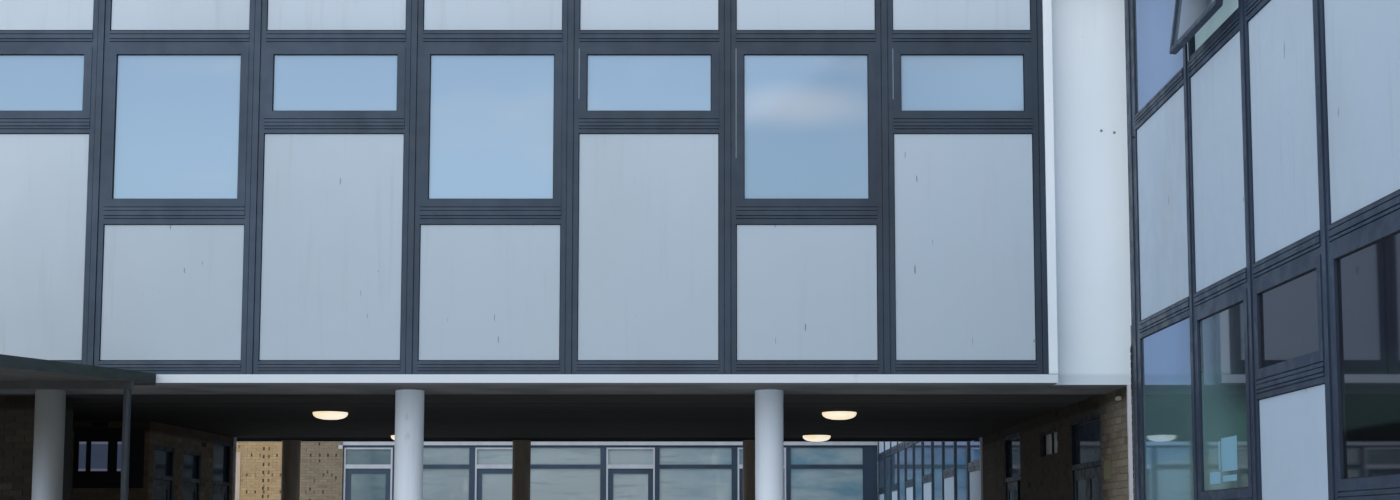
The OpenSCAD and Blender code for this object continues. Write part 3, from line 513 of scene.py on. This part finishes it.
def lamp_opal():
    """Warm opal diffuser, lit."""
    f = Finish("lamp_opal", 0.4)
    colour = f.mix((1.0, 0.80, 0.52), (1.0, 0.90, 0.74), f.noise(6))
    f.paint(colour)
    f.wire(colour, f.shader.inputs["Emission Color"])
    f.shader.inputs["Emission Strength"].default_value = 0.85
    return f.material


def roofing_felt():
    f = Finish("roofing_felt", 0.9, 0.0, 0.2)
    body = f.mix((0.17, 0.175, 0.18), (0.24, 0.245, 0.25), f.noise(0.8, 0.3, 0.7, detail=5))
    body = f.mix(body, (0.12, 0.125, 0.12), f.noise(0.35, 0.55, 0.7, detail=4, top=0.6))
    f.paint(f.mix(body, (0.33, 0.34, 0.34), f.noise(500, 0.5, 0.8, detail=2, top=0.4)))
    f.bump(f.noise(400, 0.3, 0.7), 0.0015, 0.8)
    return f.material


def canopy_boarding():
    """Weathered boarding: brown below, greenish black along the edges and mossy on top."""
    f = Finish("canopy_boarding", 0.85, 0.0, 0.25)
    under = f.mix((0.042, 0.042, 0.043), (0.068, 0.068, 0.068), f.noise(5, 0.3, 0.7, (2.5, 0.3, 1), 5))
    edge = f.mix((0.023, 0.035, 0.038), (0.036, 0.052, 0.055), f.noise(7, 0.3, 0.7, (1, 0.3, 2.5), 4))
    edge = f.mix(edge, (0.020, 0.045, 0.026), f.noise(6, 0.55, 0.75, detail=4, top=0.7))
    body = f.mix(under, edge, f.facing_up(-0.9, -0.3))
    top = f.mix((0.075, 0.085, 0.080), (0.060, 0.082, 0.045), f.noise(2.5, 0.45, 0.7, detail=4))
    f.paint(f.mix(body, top, f.facing_up(0.5, 0.99)))
    f.bump(f.noise(70, 0.3, 0.7, (0.2, 1, 1)), 0.002, 0.7)
    return f.material


def steel_paint(name, dark, light, specular=0.5):
    f = Finish(name, 0.45, 0.0, specular)
    f.paint(f.mix(dark, light, f.noise(3, 0.3, 0.7, (1, 1, 0.3), 4)))
    f.gloss(f.noise(8), 0.38, 0.55)
    f.bump(f.noise(700, 0.3, 0.7), 0.0003, 0.5)
    return f.material


def bare_paint(name, colour, roughness=0.5, spread=0.12, glow=None):
    """Plain paint with a faint cloud in it, and with a painted glow for the light of a bright room where a
    glow is given.
    """
    f = Finish(name, roughness)
    dark = tuple((1 - spread) * c for c in colour)
    f.paint(f.mix(dark, colour, f.noise(4, 0.3, 0.7, (1, 1, 0.5), 4)))
    if glow:
        # Painted light: a glow, though the paint is no lamp
        f.glow(glow)
    f.bump(f.noise(300, 0.3, 0.7), 0.0004, 0.4)
    return f.material


def make_finishes():
    return {
        "slate": slate_paint("slate_paint", (0.022, 0.039, 0.064), (0.036, 0.060, 0.095), 0.4),
        "wing_slate": slate_paint("wing_slate", (0.022, 0.038, 0.072), (0.036, 0.060, 0.106), 0.45),
        "shade_slate": slate_paint("shade_slate", (0.014, 0.017, 0.022), (0.024, 0.028, 0.034), 0.06),
        "panel": infill_panel("infill_panel", (0.345, 0.432, 0.520), (0.425, 0.517, 0.617)),
        # Painted light: a lighter copy of the infill panel for the wing's face
        "wing_panel": infill_panel("wing_panel", (0.373, 0.488, 0.624), (0.455, 0.569, 0.697)),
        "render": white_render(),
        "painted_sky_glass": painted_sky_glass(),
        "wing_glass": wing_glass(),
        "passage_glass": shade_glass("passage_glass", (0.030, 0.042, 0.060), (0.060, 0.080, 0.110)),
        "leaf_glass": shade_glass("leaf_glass", (0.010, 0.013, 0.020), (0.022, 0.028, 0.042)),
        "lodge_glass": day_glass("lodge_glass", (0.15, 0.19, 0.31), (0.026, 0.036, 0.058)),
        "court_glass": court_glass(),
        "brick": court_masonry("court_brick", brick),
        "shade_brick": passage_masonry("passage_brick", brick),
        "mortar": court_masonry("court_mortar", mortar),
        "shade_mortar": passage_masonry("passage_mortar", mortar),
        "column": column_paint(),
        "margin": soffit_margin(),
        "concrete": plain_concrete(),
        "soffit": soffit_board(),
        "lamp": lamp_opal(),
        "felt": roofing_felt(),
        "canopy": canopy_boarding(),
        "post": steel_paint("post_paint", (0.012, 0.019, 0.028), (0.022, 0.032, 0.043)),
        "leaf": steel_paint("leaf_paint", (0.016, 0.020, 0.028), (0.030, 0.036, 0.048), 0.08),
        "timber": bare_paint("dark_timber", (0.050, 0.048, 0.047), 0.8, 0.3),
        "fascia": bare_paint("pale_fascia", (0.40, 0.44, 0.50)),
        "trim": bare_paint("corner_trim", (0.60, 0.63, 0.68)),
        "pale_trim": bare_paint("pale_trim", (0.46, 0.36, 0.28)),
        "black_frame": bare_paint("black_frame", (0.006, 0.007, 0.010)),
        "strip": day_glass("lodge_strip", (0.36, 0.35, 0.46), (0.082, 0.074, 0.115)),
        "steel": bare_paint("satin_steel", (0.55, 0.57, 0.59), 0.3),
        "plate": bare_paint("bare_plate", (0.13, 0.115, 0.035)),
        "sheet": bare_paint("blank_sheet", (0.18, 0.38, 0.51), 0.8),
        "lining": bare_paint("room_lining", (0.46, 0.60, 0.60), 0.8, 0.12, (0.140, 0.205, 0.235)),
        "fitting": bare_paint("dull_fitting", (0.44, 0.4, 0.33)),
        "plug": bare_paint("grey_plug", (0.20, 0.24, 0.27), 0.6),
        "rust": bare_paint("rusty_screw", (0.055, 0.028, 0.018), 0.8),
        "seal": bare_paint("pale_seal", (0.20, 0.25, 0.30), 0.5),
        "gasket_and_gap_shade": bare_paint("black_gasket_and_gap_shade", (0.008, 0.009, 0.011), 0.7),
        "floor": bare_paint("pale_floor", FLOOR_COLOUR, 0.9, 0.03),
    }


NODE_FINISHES = {
    "slate": ["link_front_mullions", "link_front_transoms", "link_front_casements", "copings",
              "back_frames", "range_front_frame", "range_sashes"],
    "wing_slate": ["wing_west_mullions", "wing_west_transoms", "wing_west_casements"],
    "shade_slate": ["door_jambs", "door_heads", "high_window_frame"],
    "black_frame": ["lodge_window_frame"],
    "panel": ["link_front_panels", "back_panels"],
    "wing_panel": ["wing_west_panels"],
    "render": ["link_white_trim", "rendered_piers", "party_walls", "parapets"],
    "fascia": ["range_fascia", "range_pale_frames"],
    "painted_sky_glass": ["link_front_glass", "back_glass"],
    "wing_glass": ["wing_west_glass"],
    "passage_glass": ["passage_glass"],
    "lodge_glass": ["lodge_window_glass"],
    "court_glass": ["range_front_glass"],
    "mortar": ["range_back_wall", "range_brick_front"],
    "shade_mortar": ["passage_east_wall", "passage_west_wall", "door_lintels", "screen_wall",
                     "lodge_walls"],
    "column": ["link_columns"],
    "margin": ["link_edge_beams"],
    "concrete": ["link_floor_slab", "wing_ground_floor", "wing_first_floor", "lodge_floor", "range_floor"],
    "soffit": ["link_soffit"],
    "lamp": ["link_soffit_lights"],
    "felt": ["link_roof", "wing_roof", "range_roof"],
    "canopy": ["canopy_roof"],
    "timber": ["canopy_beams"],
    "post": ["canopy_posts"],
    "leaf": ["door_a_left", "door_a_right", "door_b_leaf", "door_c_leaf", "door_d_leaf", "door_e_leaf"],
    "steel": ["door_pivots"],
    "trim": ["corner_trims"],
}


def finish_nodes(finishes):
    """Give each node of the model its finish."""
    for finish, names in NODE_FINISHES.items():
        for name in names:
            slots = NODES[name].data.materials
            if len(slots) == 0:
                slots.append(finishes[finish])
            for index in range(len(slots)):
                slots[index] = finishes[finish]


# Building pieces out of many small solids

# How far a fitting reaches into what carries it, or stays clear of what it only meets
SEAT = 0.001


class Wall:
    """Maps along, up and out on a wall's face to the row frame. looks is "-x", "+x", "-y" or "+y"."""

    def __init__(self, looks, at):
        self.sign = -1 if looks[0] == "-" else 1
        self.across = looks[1]
        self.at = at

    def point(self, along, up, out):
        depth = self.at + self.sign * out
        if self.across == "x":
            return Vector((depth, along, up))
        return Vector((along, depth, up))

    def outward(self):
        return self.point(0, 0, 1) - self.point(0, 0, 0)

    def along_of(self, point):
        return point.y if self.across == "x" else point.x

    def out_of(self, point):
        return self.sign * ((point.x if self.across == "x" else point.y) - self.at)


class Solids:
    """Many small solids joined into one mesh, each with its own tone."""

    def __init__(self):
        self.verts, self.faces, self.tones = [], [], []

    def block(self, low, high, tone=0.0):
        """A box between two corners."""
        start = len(self.verts)
        for x in (low[0], high[0]):
            for y in (low[1], high[1]):
                for z in (low[2], high[2]):
                    self.verts.append((x, y, z))
        for face in ((0, 1, 3, 2), (4, 6, 7, 5), (0, 4, 5, 1), (2, 3, 7, 6), (0, 2, 6, 4), (1, 5, 7, 3)):
            self.faces.append(tuple(start + i for i in face))
            self.tones.append(tone)

    def plate(self, wall, along, up, out, tone=0.0):
        """A box on a wall, from its ranges along, up and out."""
        a = wall.point(along[0], up[0], out[0])
        b = wall.point(along[1], up[1], out[1])
        self.block([min(p) for p in zip(a, b)], [max(p) for p in zip(a, b)], tone)

    def rod(self, start, end, radius, sides=12):
        """A round bar between two points, closed at both ends."""
        axis = (end - start).normalized()
        across = axis.orthogonal().normalized()
        up = axis.cross(across)
        first = len(self.verts)
        for centre in (start, end):
            for i in range(sides):
                turn = 2 * math.pi * i / sides
                self.verts.append(tuple(centre + radius * (math.cos(turn) * across + math.sin(turn) * up)))
        for i in range(sides):
            j = (i + 1) % sides
            self.faces.append((first + i, first + j, first + sides + j, first + sides + i))
        self.faces.append(tuple(first + i for i in reversed(range(sides))))
        self.faces.append(tuple(first + sides + i for i in range(sides)))
        self.tones += [0.0] * (sides + 2)

    def piece(self, name, finish, body=BUILDING, slot=None, bevel=0.0):
        mesh = bpy.data.meshes.new(name)
        mesh.from_pydata(self.verts, [], self.faces)
        tone = mesh.attributes.new("tone", "FLOAT", "FACE")
        tone.data.foreach_set("value", self.tones)
        mesh.materials.append(finish)
        made = bpy.data.objects.new(name, mesh)
        bpy.context.scene.collection.objects.link(made)
        if bevel:
            edge = made.modifiers.new("bevel", "BEVEL")
            edge.width = bevel
            edge.segments = 2
        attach(made, body)


def separate_solids(node):
    """The lowest and highest corners of each solid of a node."""
    mesh = bmesh.new()
    mesh.from_mesh(NODES[node].data)
    bmesh.ops.remove_doubles(mesh, verts=mesh.verts, dist=1e-5)
    left, found = set(mesh.verts), []
    while left:
        stack = [left.pop()]
        island = []
        while stack:
            vert = stack.pop()
            island.append(vert.co.copy())
            for edge in vert.link_edges:
                other = edge.other_vert(vert)
                if other in left:
                    left.remove(other)
                    stack.append(other)
        low = Vector(map(min, zip(*island)))
        high = Vector(map(max, zip(*island)))
        found.append((low, high))
    mesh.free()
    return sorted(found, key=lambda box: tuple(round(c, 4) for c in box[0]))


# Brickwork

BRICK_L, COURSE, JOINT = 0.225, 0.075, 0.010
PROUD, UNEVEN, KEY = 0.006, 0.0015, 0.004
SHORTEST_BRICK, LONG_BRICK = 0.02, 0.2
TONE, TONE_SPREAD, LEAST_TONE = 0.45, 0.22, 0.10
DARK_SHARE, DARK_TONE = 0.012, 0.03

# The calm wall of the range, with the share, size and tone of its marks and its two dotted columns
BED_T, CALM_SPREAD = 0.062, 0.11
MARK_SHARE, MARKED_COURSES, MARKED_SHARE = 0.05, (6, 13, 20, 28, 33, 39, 46), 0.7
MARK_W, MARK_T, MARK_PLACE, MARK_TONE = 0.045, 0.001, (0.35, 0.45), 0.12
DOT_COLUMNS = ((-16.32, 0.0), (-16.18, 0.06))
DOT_TOP, DOT_STEP, DOT_H, DOT_T, DOTS = 3.77, 0.2115, 0.090, 0.003, 16
STRIP_ALONG, STRIP_TOP = (-17.10, -16.93), 3.63
STOP_W, STOP_H, TRIM_T = 0.113, 0.100, 0.03


def face_corners(nodes, wall):
    """Ray trees of some nodes, and where their corners lie along and up a wall's face."""
    trees, edges, ups = [], set(), set()
    for node in nodes:
        mesh = NODES[node].data
        verts = [v.co for v in mesh.vertices]
        trees.append(BVHTree.FromPolygons(verts, [p.vertices for p in mesh.polygons]))
        for v in verts:
            if abs((v - wall.point(0, 0, 0)).dot(wall.outward())) < 1e-3:
                edges.add(round(wall.along_of(v), 4))
                ups.add(round(v.z, 4))
    return trees, sorted(edges), sorted(ups)


def face_spans(trees, wall, edges, up):
    """The stretches of a wall's face at one height where the nodes stand."""
    probe = 0.02
    inward = -wall.outward()
    spans = []
    for a, b in zip(edges, edges[1:]):
        start = wall.point((a + b) / 2, up, probe)
        solid = any(tree.ray_cast(start, inward, 2 * probe)[0] for tree in trees)
        if solid and spans and abs(spans[-1][1] - a) < 1e-4:
            spans[-1][1] = b
        elif solid:
            spans.append([a, b])
    return spans


def dot_columns(bricks, wall, face):
    """Two columns of small dark open joints on a wall, out from its face of bricks."""
    for x, tone in DOT_COLUMNS:
        at = SITE_X + x
        for k in range(DOTS):
            z = DOT_TOP - k * DOT_STEP
            along, up = (at - MARK_W / 2, at + MARK_W / 2), (z - DOT_H, z)
            bricks.plate(wall, along, up, (face, face + DOT_T), tone)


def lay_bricks(name, nodes, wall, finish, calm_end=None, bed=0.0):
    """Stretcher bond over the face of some nodes, one solid for each brick that shows.

    A calm wall ends at the place given for it. Its bricks are more alike, with small dark marks, and stand
    on a bed in front of the nodes.
    """
    rng = random.Random(name)
    calm = calm_end is not None
    spread = CALM_SPREAD if calm else TONE_SPREAD
    trees, edges, ups = face_corners(nodes, wall)
    if calm:
        edges = [edge for edge in edges if edge < calm_end] + [calm_end]
    bricks = Solids()
    for row in range(int((ups[-1] - ups[0]) / COURSE)):
        mark_share = MARKED_SHARE if row in MARKED_COURSES else MARK_SHARE
        z = ups[0] + row * COURSE + JOINT / 2
        top = z + COURSE - JOINT
        for a, b in face_spans(trees, wall, edges, (z + top) / 2):
            first = math.floor((a - edges[0]) / BRICK_L) - 1
            for k in range(first, first + int((b - a) / BRICK_L) + 4):
                start = edges[0] + (k + 0.5 * (row % 2)) * BRICK_L
                u0, u1 = max(a, start), min(b, start + BRICK_L - JOINT)
                if u1 - u0 < SHORTEST_BRICK:
                    continue
                tone = LEAST_TONE + (1 - LEAST_TONE) * min(1, max(0, rng.gauss(TONE, spread)))
                if rng.random() < DARK_SHARE and not calm:
                    tone = DARK_TONE * rng.random()
                face = bed + PROUD + UNEVEN * rng.random()
                bricks.plate(wall, (u0, u1), (z, top), (bed - KEY, face), tone)
                if calm and u1 - u0 > LONG_BRICK and rng.random() < mark_share:
                    at = u0 + rng.uniform(*MARK_PLACE) * (u1 - u0)
                    mark = (face - MARK_T, face + MARK_T)
                    bricks.plate(wall, (at, at + MARK_W), (z, top + JOINT), mark, MARK_TONE * rng.random())
    if calm:
        dot_columns(bricks, wall, bed + PROUD)
    bricks.piece(name, finish, slot="brick")


def make_brickwork(finishes):
    """Bricks over both faces of the walls that show."""
    right = Wall("-x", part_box("passage_east_wall")[0].x)
    left = Wall("+x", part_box("passage_west_wall")[1].x)
    shade, buff = finishes["shade_brick"], finishes["brick"]
    lay_bricks("bricks_passage_right", ["passage_east_wall", "door_lintels"], right, shade)
    lay_bricks("bricks_passage_left", ["passage_west_wall", "door_lintels", "lodge_walls"], left, shade)
    lay_bricks("bricks_lodge_front", ["lodge_walls"], Wall("-y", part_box("lodge_walls")[0].y), shade)
    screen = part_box("screen_wall")
    lay_bricks("bricks_screen_front", ["screen_wall"], Wall("-y", screen[0].y), shade)
    lay_bricks("bricks_screen_back", ["screen_wall"], Wall("+y", screen[1].y), shade)
    lay_bricks("bricks_lodge_back", ["lodge_walls"], Wall("+y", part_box("lodge_walls")[1].y), shade)
    lay_bricks("bricks_range_back", ["range_back_wall"], Wall("+y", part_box("range_back_wall")[1].y), buff)
    make_range_front(finishes)


def make_range_front(finishes):
    """The range's bricks on their bed, with a strip at their left end and the stop end of the fascia."""
    low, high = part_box("range_brick_front")
    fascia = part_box("range_fascia")
    front = Wall("-y", low.y)
    lay_bricks("bricks_range_front", ["range_brick_front", "range_fascia"], front, finishes["brick"],
               high.x, BED_T)
    bed, strip, stop_end = Solids(), Solids(), Solids()
    bed.plate(front, (low.x + SEAT, high.x), (low.z, fascia[1].z - 2 * SEAT), (-SEAT, BED_T))
    bed.piece("range_mortar_bed", finishes["mortar"], slot="brick")
    trim = (BED_T, BED_T + TRIM_T)
    strip.plate(front, [SITE_X + x for x in STRIP_ALONG], (low.z, STRIP_TOP), trim)
    strip.piece("range_end_strip", finishes["pale_trim"], slot="render")
    stop_end.plate(front, (high.x - STOP_W, high.x), (fascia[0].z - STOP_H, fascia[0].z), trim)
    stop_end.piece("fascia_stop_end", finishes["fascia"], slot="render")


# Ceiling, roofs and copings

BEAM_FRONT, BEAM_BACK = 0.355, 1.35
BOARD_W, BOARD_GAP, BOARD_T, BOARD_TONE = 0.29, 0.008, 0.006, 0.8
FELT_ROLL, FELT_LAP, FELT_T, FELT_SEAT, FELT_INSET = 1.0, 0.08, 0.006, 0.002, 0.36
# How far the laps stop short of each roof's front and back edges
FELT_ENDS = {"link_roof": 0.16, "wing_roof": 0.36}


def make_soffit_boards(finish):
    """Boards across the passage's ceiling, behind the front edge beam."""
    low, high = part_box("link_soffit")
    rng = random.Random("soffit")
    boards = Solids()
    y = SITE_Y + BEAM_BACK
    while y + BOARD_W < high.y:
        boards.block((low.x, y, low.z - BOARD_T), (high.x, y + BOARD_W - BOARD_GAP, low.z + SEAT),
                     rng.random() * BOARD_TONE)
        y += BOARD_W
    boards.piece("soffit_boards", finish, slot="dark_metal")


def make_felt_laps(finish):
    """Laps between the rolls of roofing felt."""
    laps = Solids()
    for node, end in FELT_ENDS.items():
        low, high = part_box(node)
        x = low.x + FELT_INSET
        while x < high.x - FELT_INSET:
            laps.block((x, low.y + end, high.z - FELT_SEAT), (x + FELT_LAP, high.y - end, high.z + FELT_T))
            x += FELT_ROLL
    laps.piece("felt_laps", finish, slot="roofing")


COPING_STEP, JOINT_PLATE_W, JOINT_PLATE_T = 2.5, 0.09, 0.002


def make_coping_joints(finish):
    """Thin cover plates over the joints between lengths of coping, flush with its ends."""
    plates = Solids()
    t = JOINT_PLATE_T
    for low, high in separate_solids("copings"):
        long_x = high.x - low.x > high.y - low.y
        start, end = (low.x, high.x) if long_x else (low.y, high.y)
        count = max(1, round((end - start) / COPING_STEP))
        for k in range(1, count):
            at = start + (end - start) * k / count
            a, b = at - JOINT_PLATE_W / 2, at + JOINT_PLATE_W / 2
            if long_x:
                plates.block((a, low.y + t, low.z + t), (b, high.y - t, high.z + t))
            else:
                plates.block((low.x + t, a, low.z + t), (high.x - t, b, high.z + t))
    plates.piece("coping_joint_plates", finish, slot="frame")


# Fittings

HANDLE_OUT, HANDLE_INSET = 0.055, 0.06
PULL_R, PULL_FEET, PULL_ENDS = 0.011, (0.80, 1.20), (0.74, 1.26)
LEVER_R, LEVER_UP, LEVER_L, ROSE_R, ROSE_T = 0.010, 0.98, 0.12, 0.026, 0.008
# Which way the passage side of each leaf looks, and its kind of handle
DOORS = {
    "door_a_left": ("-x", "pull"), "door_a_right": ("-x", "pull"), "door_b_leaf": ("-x", "pull"),
    "door_c_leaf": ("+x", "lever"), "door_d_leaf": ("+x", "lever"), "door_e_leaf": ("+x", "lever"),
}
# Leaves that hang at their far end along the y axis
HUNG_FAR = ("door_a_left", "door_b_leaf", "door_e_leaf")
LEAF_T, LEAF_INSET, LOW_PANE, HIGH_PANE = 0.044, 0.110, (0.250, 0.900), (1.000, 2.020)
PANE_SINK, PANE_T = 0.016, 0.006


def make_handle(kind, wall, free, floor, inward):
    """A bow handle or a lever on the free side of a leaf."""
    handle = Solids()
    if kind == "pull":
        for up in PULL_FEET:
            z = floor + up
            handle.rod(wall.point(free, z, 0), wall.point(free, z, HANDLE_OUT), PULL_R)
        start, end = [wall.point(free, floor + up, HANDLE_OUT) for up in PULL_ENDS]
        handle.rod(start, end, PULL_R)
        return handle
    z = floor + LEVER_UP
    handle.rod(wall.point(free, z, 0), wall.point(free, z, ROSE_T), ROSE_R, sides=20)
    handle.rod(wall.point(free, z, 0), wall.point(free, z, HANDLE_OUT), LEVER_R)
    handle.rod(wall.point(free - LEVER_R * inward, z, HANDLE_OUT),
               wall.point(free + LEVER_L * inward, z, HANDLE_OUT), LEVER_R)
    return handle


def dress_doors(finishes):
    """Panes on both sides of each leaf, and its handle, riding on the leaf."""
    for leaf, (looks, kind) in DOORS.items():
        low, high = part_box(leaf)
        middle = (low.x + high.x) / 2
        wall = Wall(looks, middle + (LEAF_T / 2 if looks == "+x" else -LEAF_T / 2))
        panes = Solids()
        for pane in (LOW_PANE, HIGH_PANE):
            up = (low.z + pane[0], low.z + pane[1])
            along = (low.y + LEAF_INSET, high.y - LEAF_INSET)
            panes.plate(wall, along, up, (-PANE_SINK - SEAT, -PANE_SINK + PANE_T))
            panes.plate(wall, along, up, (PANE_SINK - LEAF_T - PANE_T, PANE_SINK - LEAF_T + SEAT))
        panes.piece(f"{leaf}_panes", finishes["leaf_glass"], leaf, "glazing")
        inward = 1 if leaf in HUNG_FAR else -1
        free = low.y + HANDLE_INSET if leaf in HUNG_FAR else high.y - HANDLE_INSET
        handle = make_handle(kind, wall, free, low.z, inward)
        handle.piece(f"{leaf}_handle", finishes["steel"], leaf, "dark_metal")


PLATE_ALONG, PLATE_UP, PLATE_T = (1.10, 1.43), (2.05, 2.25), 0.008
FITTING_ALONG, FITTING_UP, FITTING_OUT = (0.62, 0.72), (2.85, 2.89), 0.05
PLUGS, PLUG_R, PLUG_OUT = ((-0.256, 5.594), (-0.123, 5.574)), 0.014, (-0.004, 0.003)
SCREW, SCREW_R, SCREW_OUT = (-0.07, 5.46), 0.012, (-0.012, 0.004)


def make_wall_fittings(finishes):
    """The bare plate and the fitting on the passage's right wall, and plugs and a screw by the corner."""
    wall = Wall("-x", SITE_X)
    # The front of the corner trim is flush with the pier's
    pier = Wall("-y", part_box("corner_trims")[0].y)
    plate, fitting, plugs, screw = Solids(), Solids(), Solids(), Solids()
    plate.plate(wall, along_y(*PLATE_ALONG), PLATE_UP, (PROUD, PROUD + PLATE_T))
    plate.piece("bare_wall_plate", finishes["plate"], slot="dark_metal", bevel=0.002)
    fitting.plate(wall, along_y(*FITTING_ALONG), FITTING_UP, (0, FITTING_OUT))
    fitting.piece("passage_fitting", finishes["fitting"], slot="render", bevel=0.010)
    for x, z in PLUGS:
        start, end = [pier.point(SITE_X + x, z, out) for out in PLUG_OUT]
        plugs.rod(start, end, PLUG_R)
    plugs.piece("pier_plugs", finishes["plug"], slot="render")
    y, z = SCREW
    start, end = [wall.point(SITE_Y + y, z, out) for out in SCREW_OUT]
    screw.rod(start, end, SCREW_R)
    screw.piece("corner_screw", finishes["rust"], slot="dark_metal")


# Each sheet's range along the window and up it
SHEETS = [
    ((-3.06, -2.64), (1.98, 2.26)), ((-3.04, -2.66), (1.895, 1.945)),
    ((-2.60, -2.30), (1.885, 1.985)), ((-2.61, -2.56), (2.00, 2.24)),
]
SHEET_OUT = (-0.0275, -0.0267)


def make_sheets(finish):
    """Blank sheets on the inside of a ground-floor window, in the wing's second bay."""
    wall = Wall("-x", SITE_X)
    sheets = Solids()
    for along, up in SHEETS:
        sheets.plate(wall, along_y(*along), up, SHEET_OUT)
    sheets.piece("blank_sheets", finish, slot="render")


GASKET_W, GASKET_T, LIP, GAP_DEPTH = 0.008, 0.004, 0.012, 0.010
# The depth in plan that only an open pane has
OPEN_DEPTH = 0.1


def has_casement(wall, sashes, point):
    """Whether a point of a front lies inside one of its casements."""
    at = wall.along_of(point)
    return any(low.z < point.z < high.z and wall.along_of(low) < at < wall.along_of(high)
               for low, high in sashes)


def make_gaskets_and_gap_shade(finish):
    """Black strips of painted shade in the shadow gaps round the panels of the glazed fronts, and black
    gaskets round their panes, which also paint the shade of the panes' reveals.

    The pane of the open vent, which is deeper in plan than the others, has none.
    """
    fronts = {"link_front": Wall("-y", SITE_Y), "wing_west": Wall("-x", SITE_X)}
    for front, wall in fronts.items():
        gaskets = Solids()
        sashes = separate_solids(f"{front}_casements")
        for kind in ("panels", "glass"):
            for low, high in separate_solids(f"{front}_{kind}"):
                if min(high.x - low.x, high.y - low.y) > OPEN_DEPTH:
                    continue
                edge = LIP if has_casement(wall, sashes, (low + high) / 2) else 0.0
                face = max(wall.out_of(low), wall.out_of(high))
                # Painted shade: black strips sunk into the panels' shadow gaps
                if kind == "panels":
                    face -= GAP_DEPTH
                a0, a1 = wall.along_of(low) + edge, wall.along_of(high) - edge
                z0, z1 = low.z + edge, high.z - edge
                out = (face - SEAT, face + GASKET_T)
                for along, up in (((a0, a1), (z0, z0 + GASKET_W)), ((a0, a1), (z1 - GASKET_W, z1)),
                                  ((a0, a0 + GASKET_W), (z0, z1)), ((a1 - GASKET_W, a1), (z0, z1))):
                    gaskets.plate(wall, along, up, out)
        gaskets.piece(f"{front}_gaskets", finish, slot="frame")


STRIP_H, STRIP_T = 0.032, 0.004


def make_lodge_strips(finish):
    """Pale strips with a painted glow at the top and the bottom of the lodge's front panes."""
    strips = Solids()
    for low, high in separate_solids("lodge_window_glass"):
        wall = Wall("-y", low.y)
        for up in ((low.z, low.z + STRIP_H), (high.z - STRIP_H, high.z)):
            strips.plate(wall, (low.x, high.x), up, (-SEAT, STRIP_T))
    strips.piece("lodge_strips", finish, slot="frame")


LEDGER_H, LEDGER_T, LEDGER_DROP, END_BOARD_T = 0.077, 0.035, 0.027, 0.030


def make_ledger(finish):
    """The wall plate that carries the canopy's boards along the front of the block."""
    low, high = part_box("canopy_roof")
    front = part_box("link_white_trim")[0].y
    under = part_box("link_edge_beams")[0].z
    bottom = under - LEDGER_DROP
    ledger = Solids()
    ledger.block((low.x, front - LEDGER_T, bottom), (high.x, front - SEAT, bottom + LEDGER_H))
    ledger.piece("canopy_ledger", finish, slot="canopy")


def make_beam_end(finish):
    """The front edge beam's underside, carried on behind the pier to the wing's wall."""
    start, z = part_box("rendered_piers")[0].x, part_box("link_edge_beams")[0].z
    front, back = along_y(BEAM_FRONT, BEAM_BACK)
    board = Solids()
    board.block((start, front, z), (SITE_X - SEAT, back, z + END_BOARD_T))
    board.piece("edge_beam_end", finish, slot="concrete")


LINING_BACK, LINING_FRONT, LINING_T, RETURN_T, LINING_GAP = 0.078, 0.006, 0.006, 0.003, 0.002
# How far the open vent reaches out of the wing's face at least
VENT_OUT = 0.1


def make_lining(finish):
    """A pale board behind the open vent, with a painted glow for the room's light, returned along the side
    of its reveal, where it paints over the reveal's shade.
    """
    low, high = next(box for box in separate_solids("wing_west_casements") if box[0].x < SITE_X - VENT_OUT)
    z0, z1 = low.z + LINING_GAP, high.z - LINING_GAP
    side = high.y + SEAT
    back = SITE_X + LINING_BACK
    lining = Solids()
    lining.block((back, low.y + LINING_GAP, z0), (back + LINING_T, side + RETURN_T, z1))
    # Painted light: this return lays the glowing board over the shaded side of the reveal
    lining.block((SITE_X + LINING_FRONT, side, z0), (back + SEAT, side + RETURN_T, z1))
    lining.piece("room_lining", finish, slot="render")


SEAL_START, SEAL_ALONG, SEAL_OUT = -5.8, (-0.004, 0.003), (-0.010, -0.003)
SEAL_TOP, SEAL_FOOT, TALL_SEAL_FOOT, TALL = 0.02, 0.2, 0.5, 1.0


def make_seals(finish):
    """Pale gaskets down the hanging side of the casements next to the pier."""
    wall = Wall("-y", SITE_Y)
    seals = Solids()
    for low, high in separate_solids("link_front_casements"):
        if low.x < SITE_X + SEAL_START:
            continue
        foot = TALL_SEAL_FOOT if high.z - low.z > TALL else SEAL_FOOT
        along = [low.x + a for a in SEAL_ALONG]
        seals.plate(wall, along, (low.z + foot, high.z - SEAL_TOP), SEAL_OUT)
    seals.piece("casement_seals", finish, slot="frame")


make_camera()
make_world()
make_lights()
FINISHES = make_finishes()
make_floor(FINISHES["floor"])
finish_nodes(FINISHES)
make_brickwork(FINISHES)
make_soffit_boards(FINISHES["soffit"])
make_felt_laps(FINISHES["felt"])
make_coping_joints(FINISHES["slate"])
dress_doors(FINISHES)
make_wall_fittings(FINISHES)
make_sheets(FINISHES["sheet"])
make_seals(FINISHES["seal"])
make_gaskets_and_gap_shade(FINISHES["gasket_and_gap_shade"])
make_lodge_strips(FINISHES["strip"])
make_ledger(FINISHES["timber"])
make_beam_end(FINISHES["margin"])
make_lining(FINISHES["lining"])

bpy.context.scene.view_settings.view_transform = "Standard"
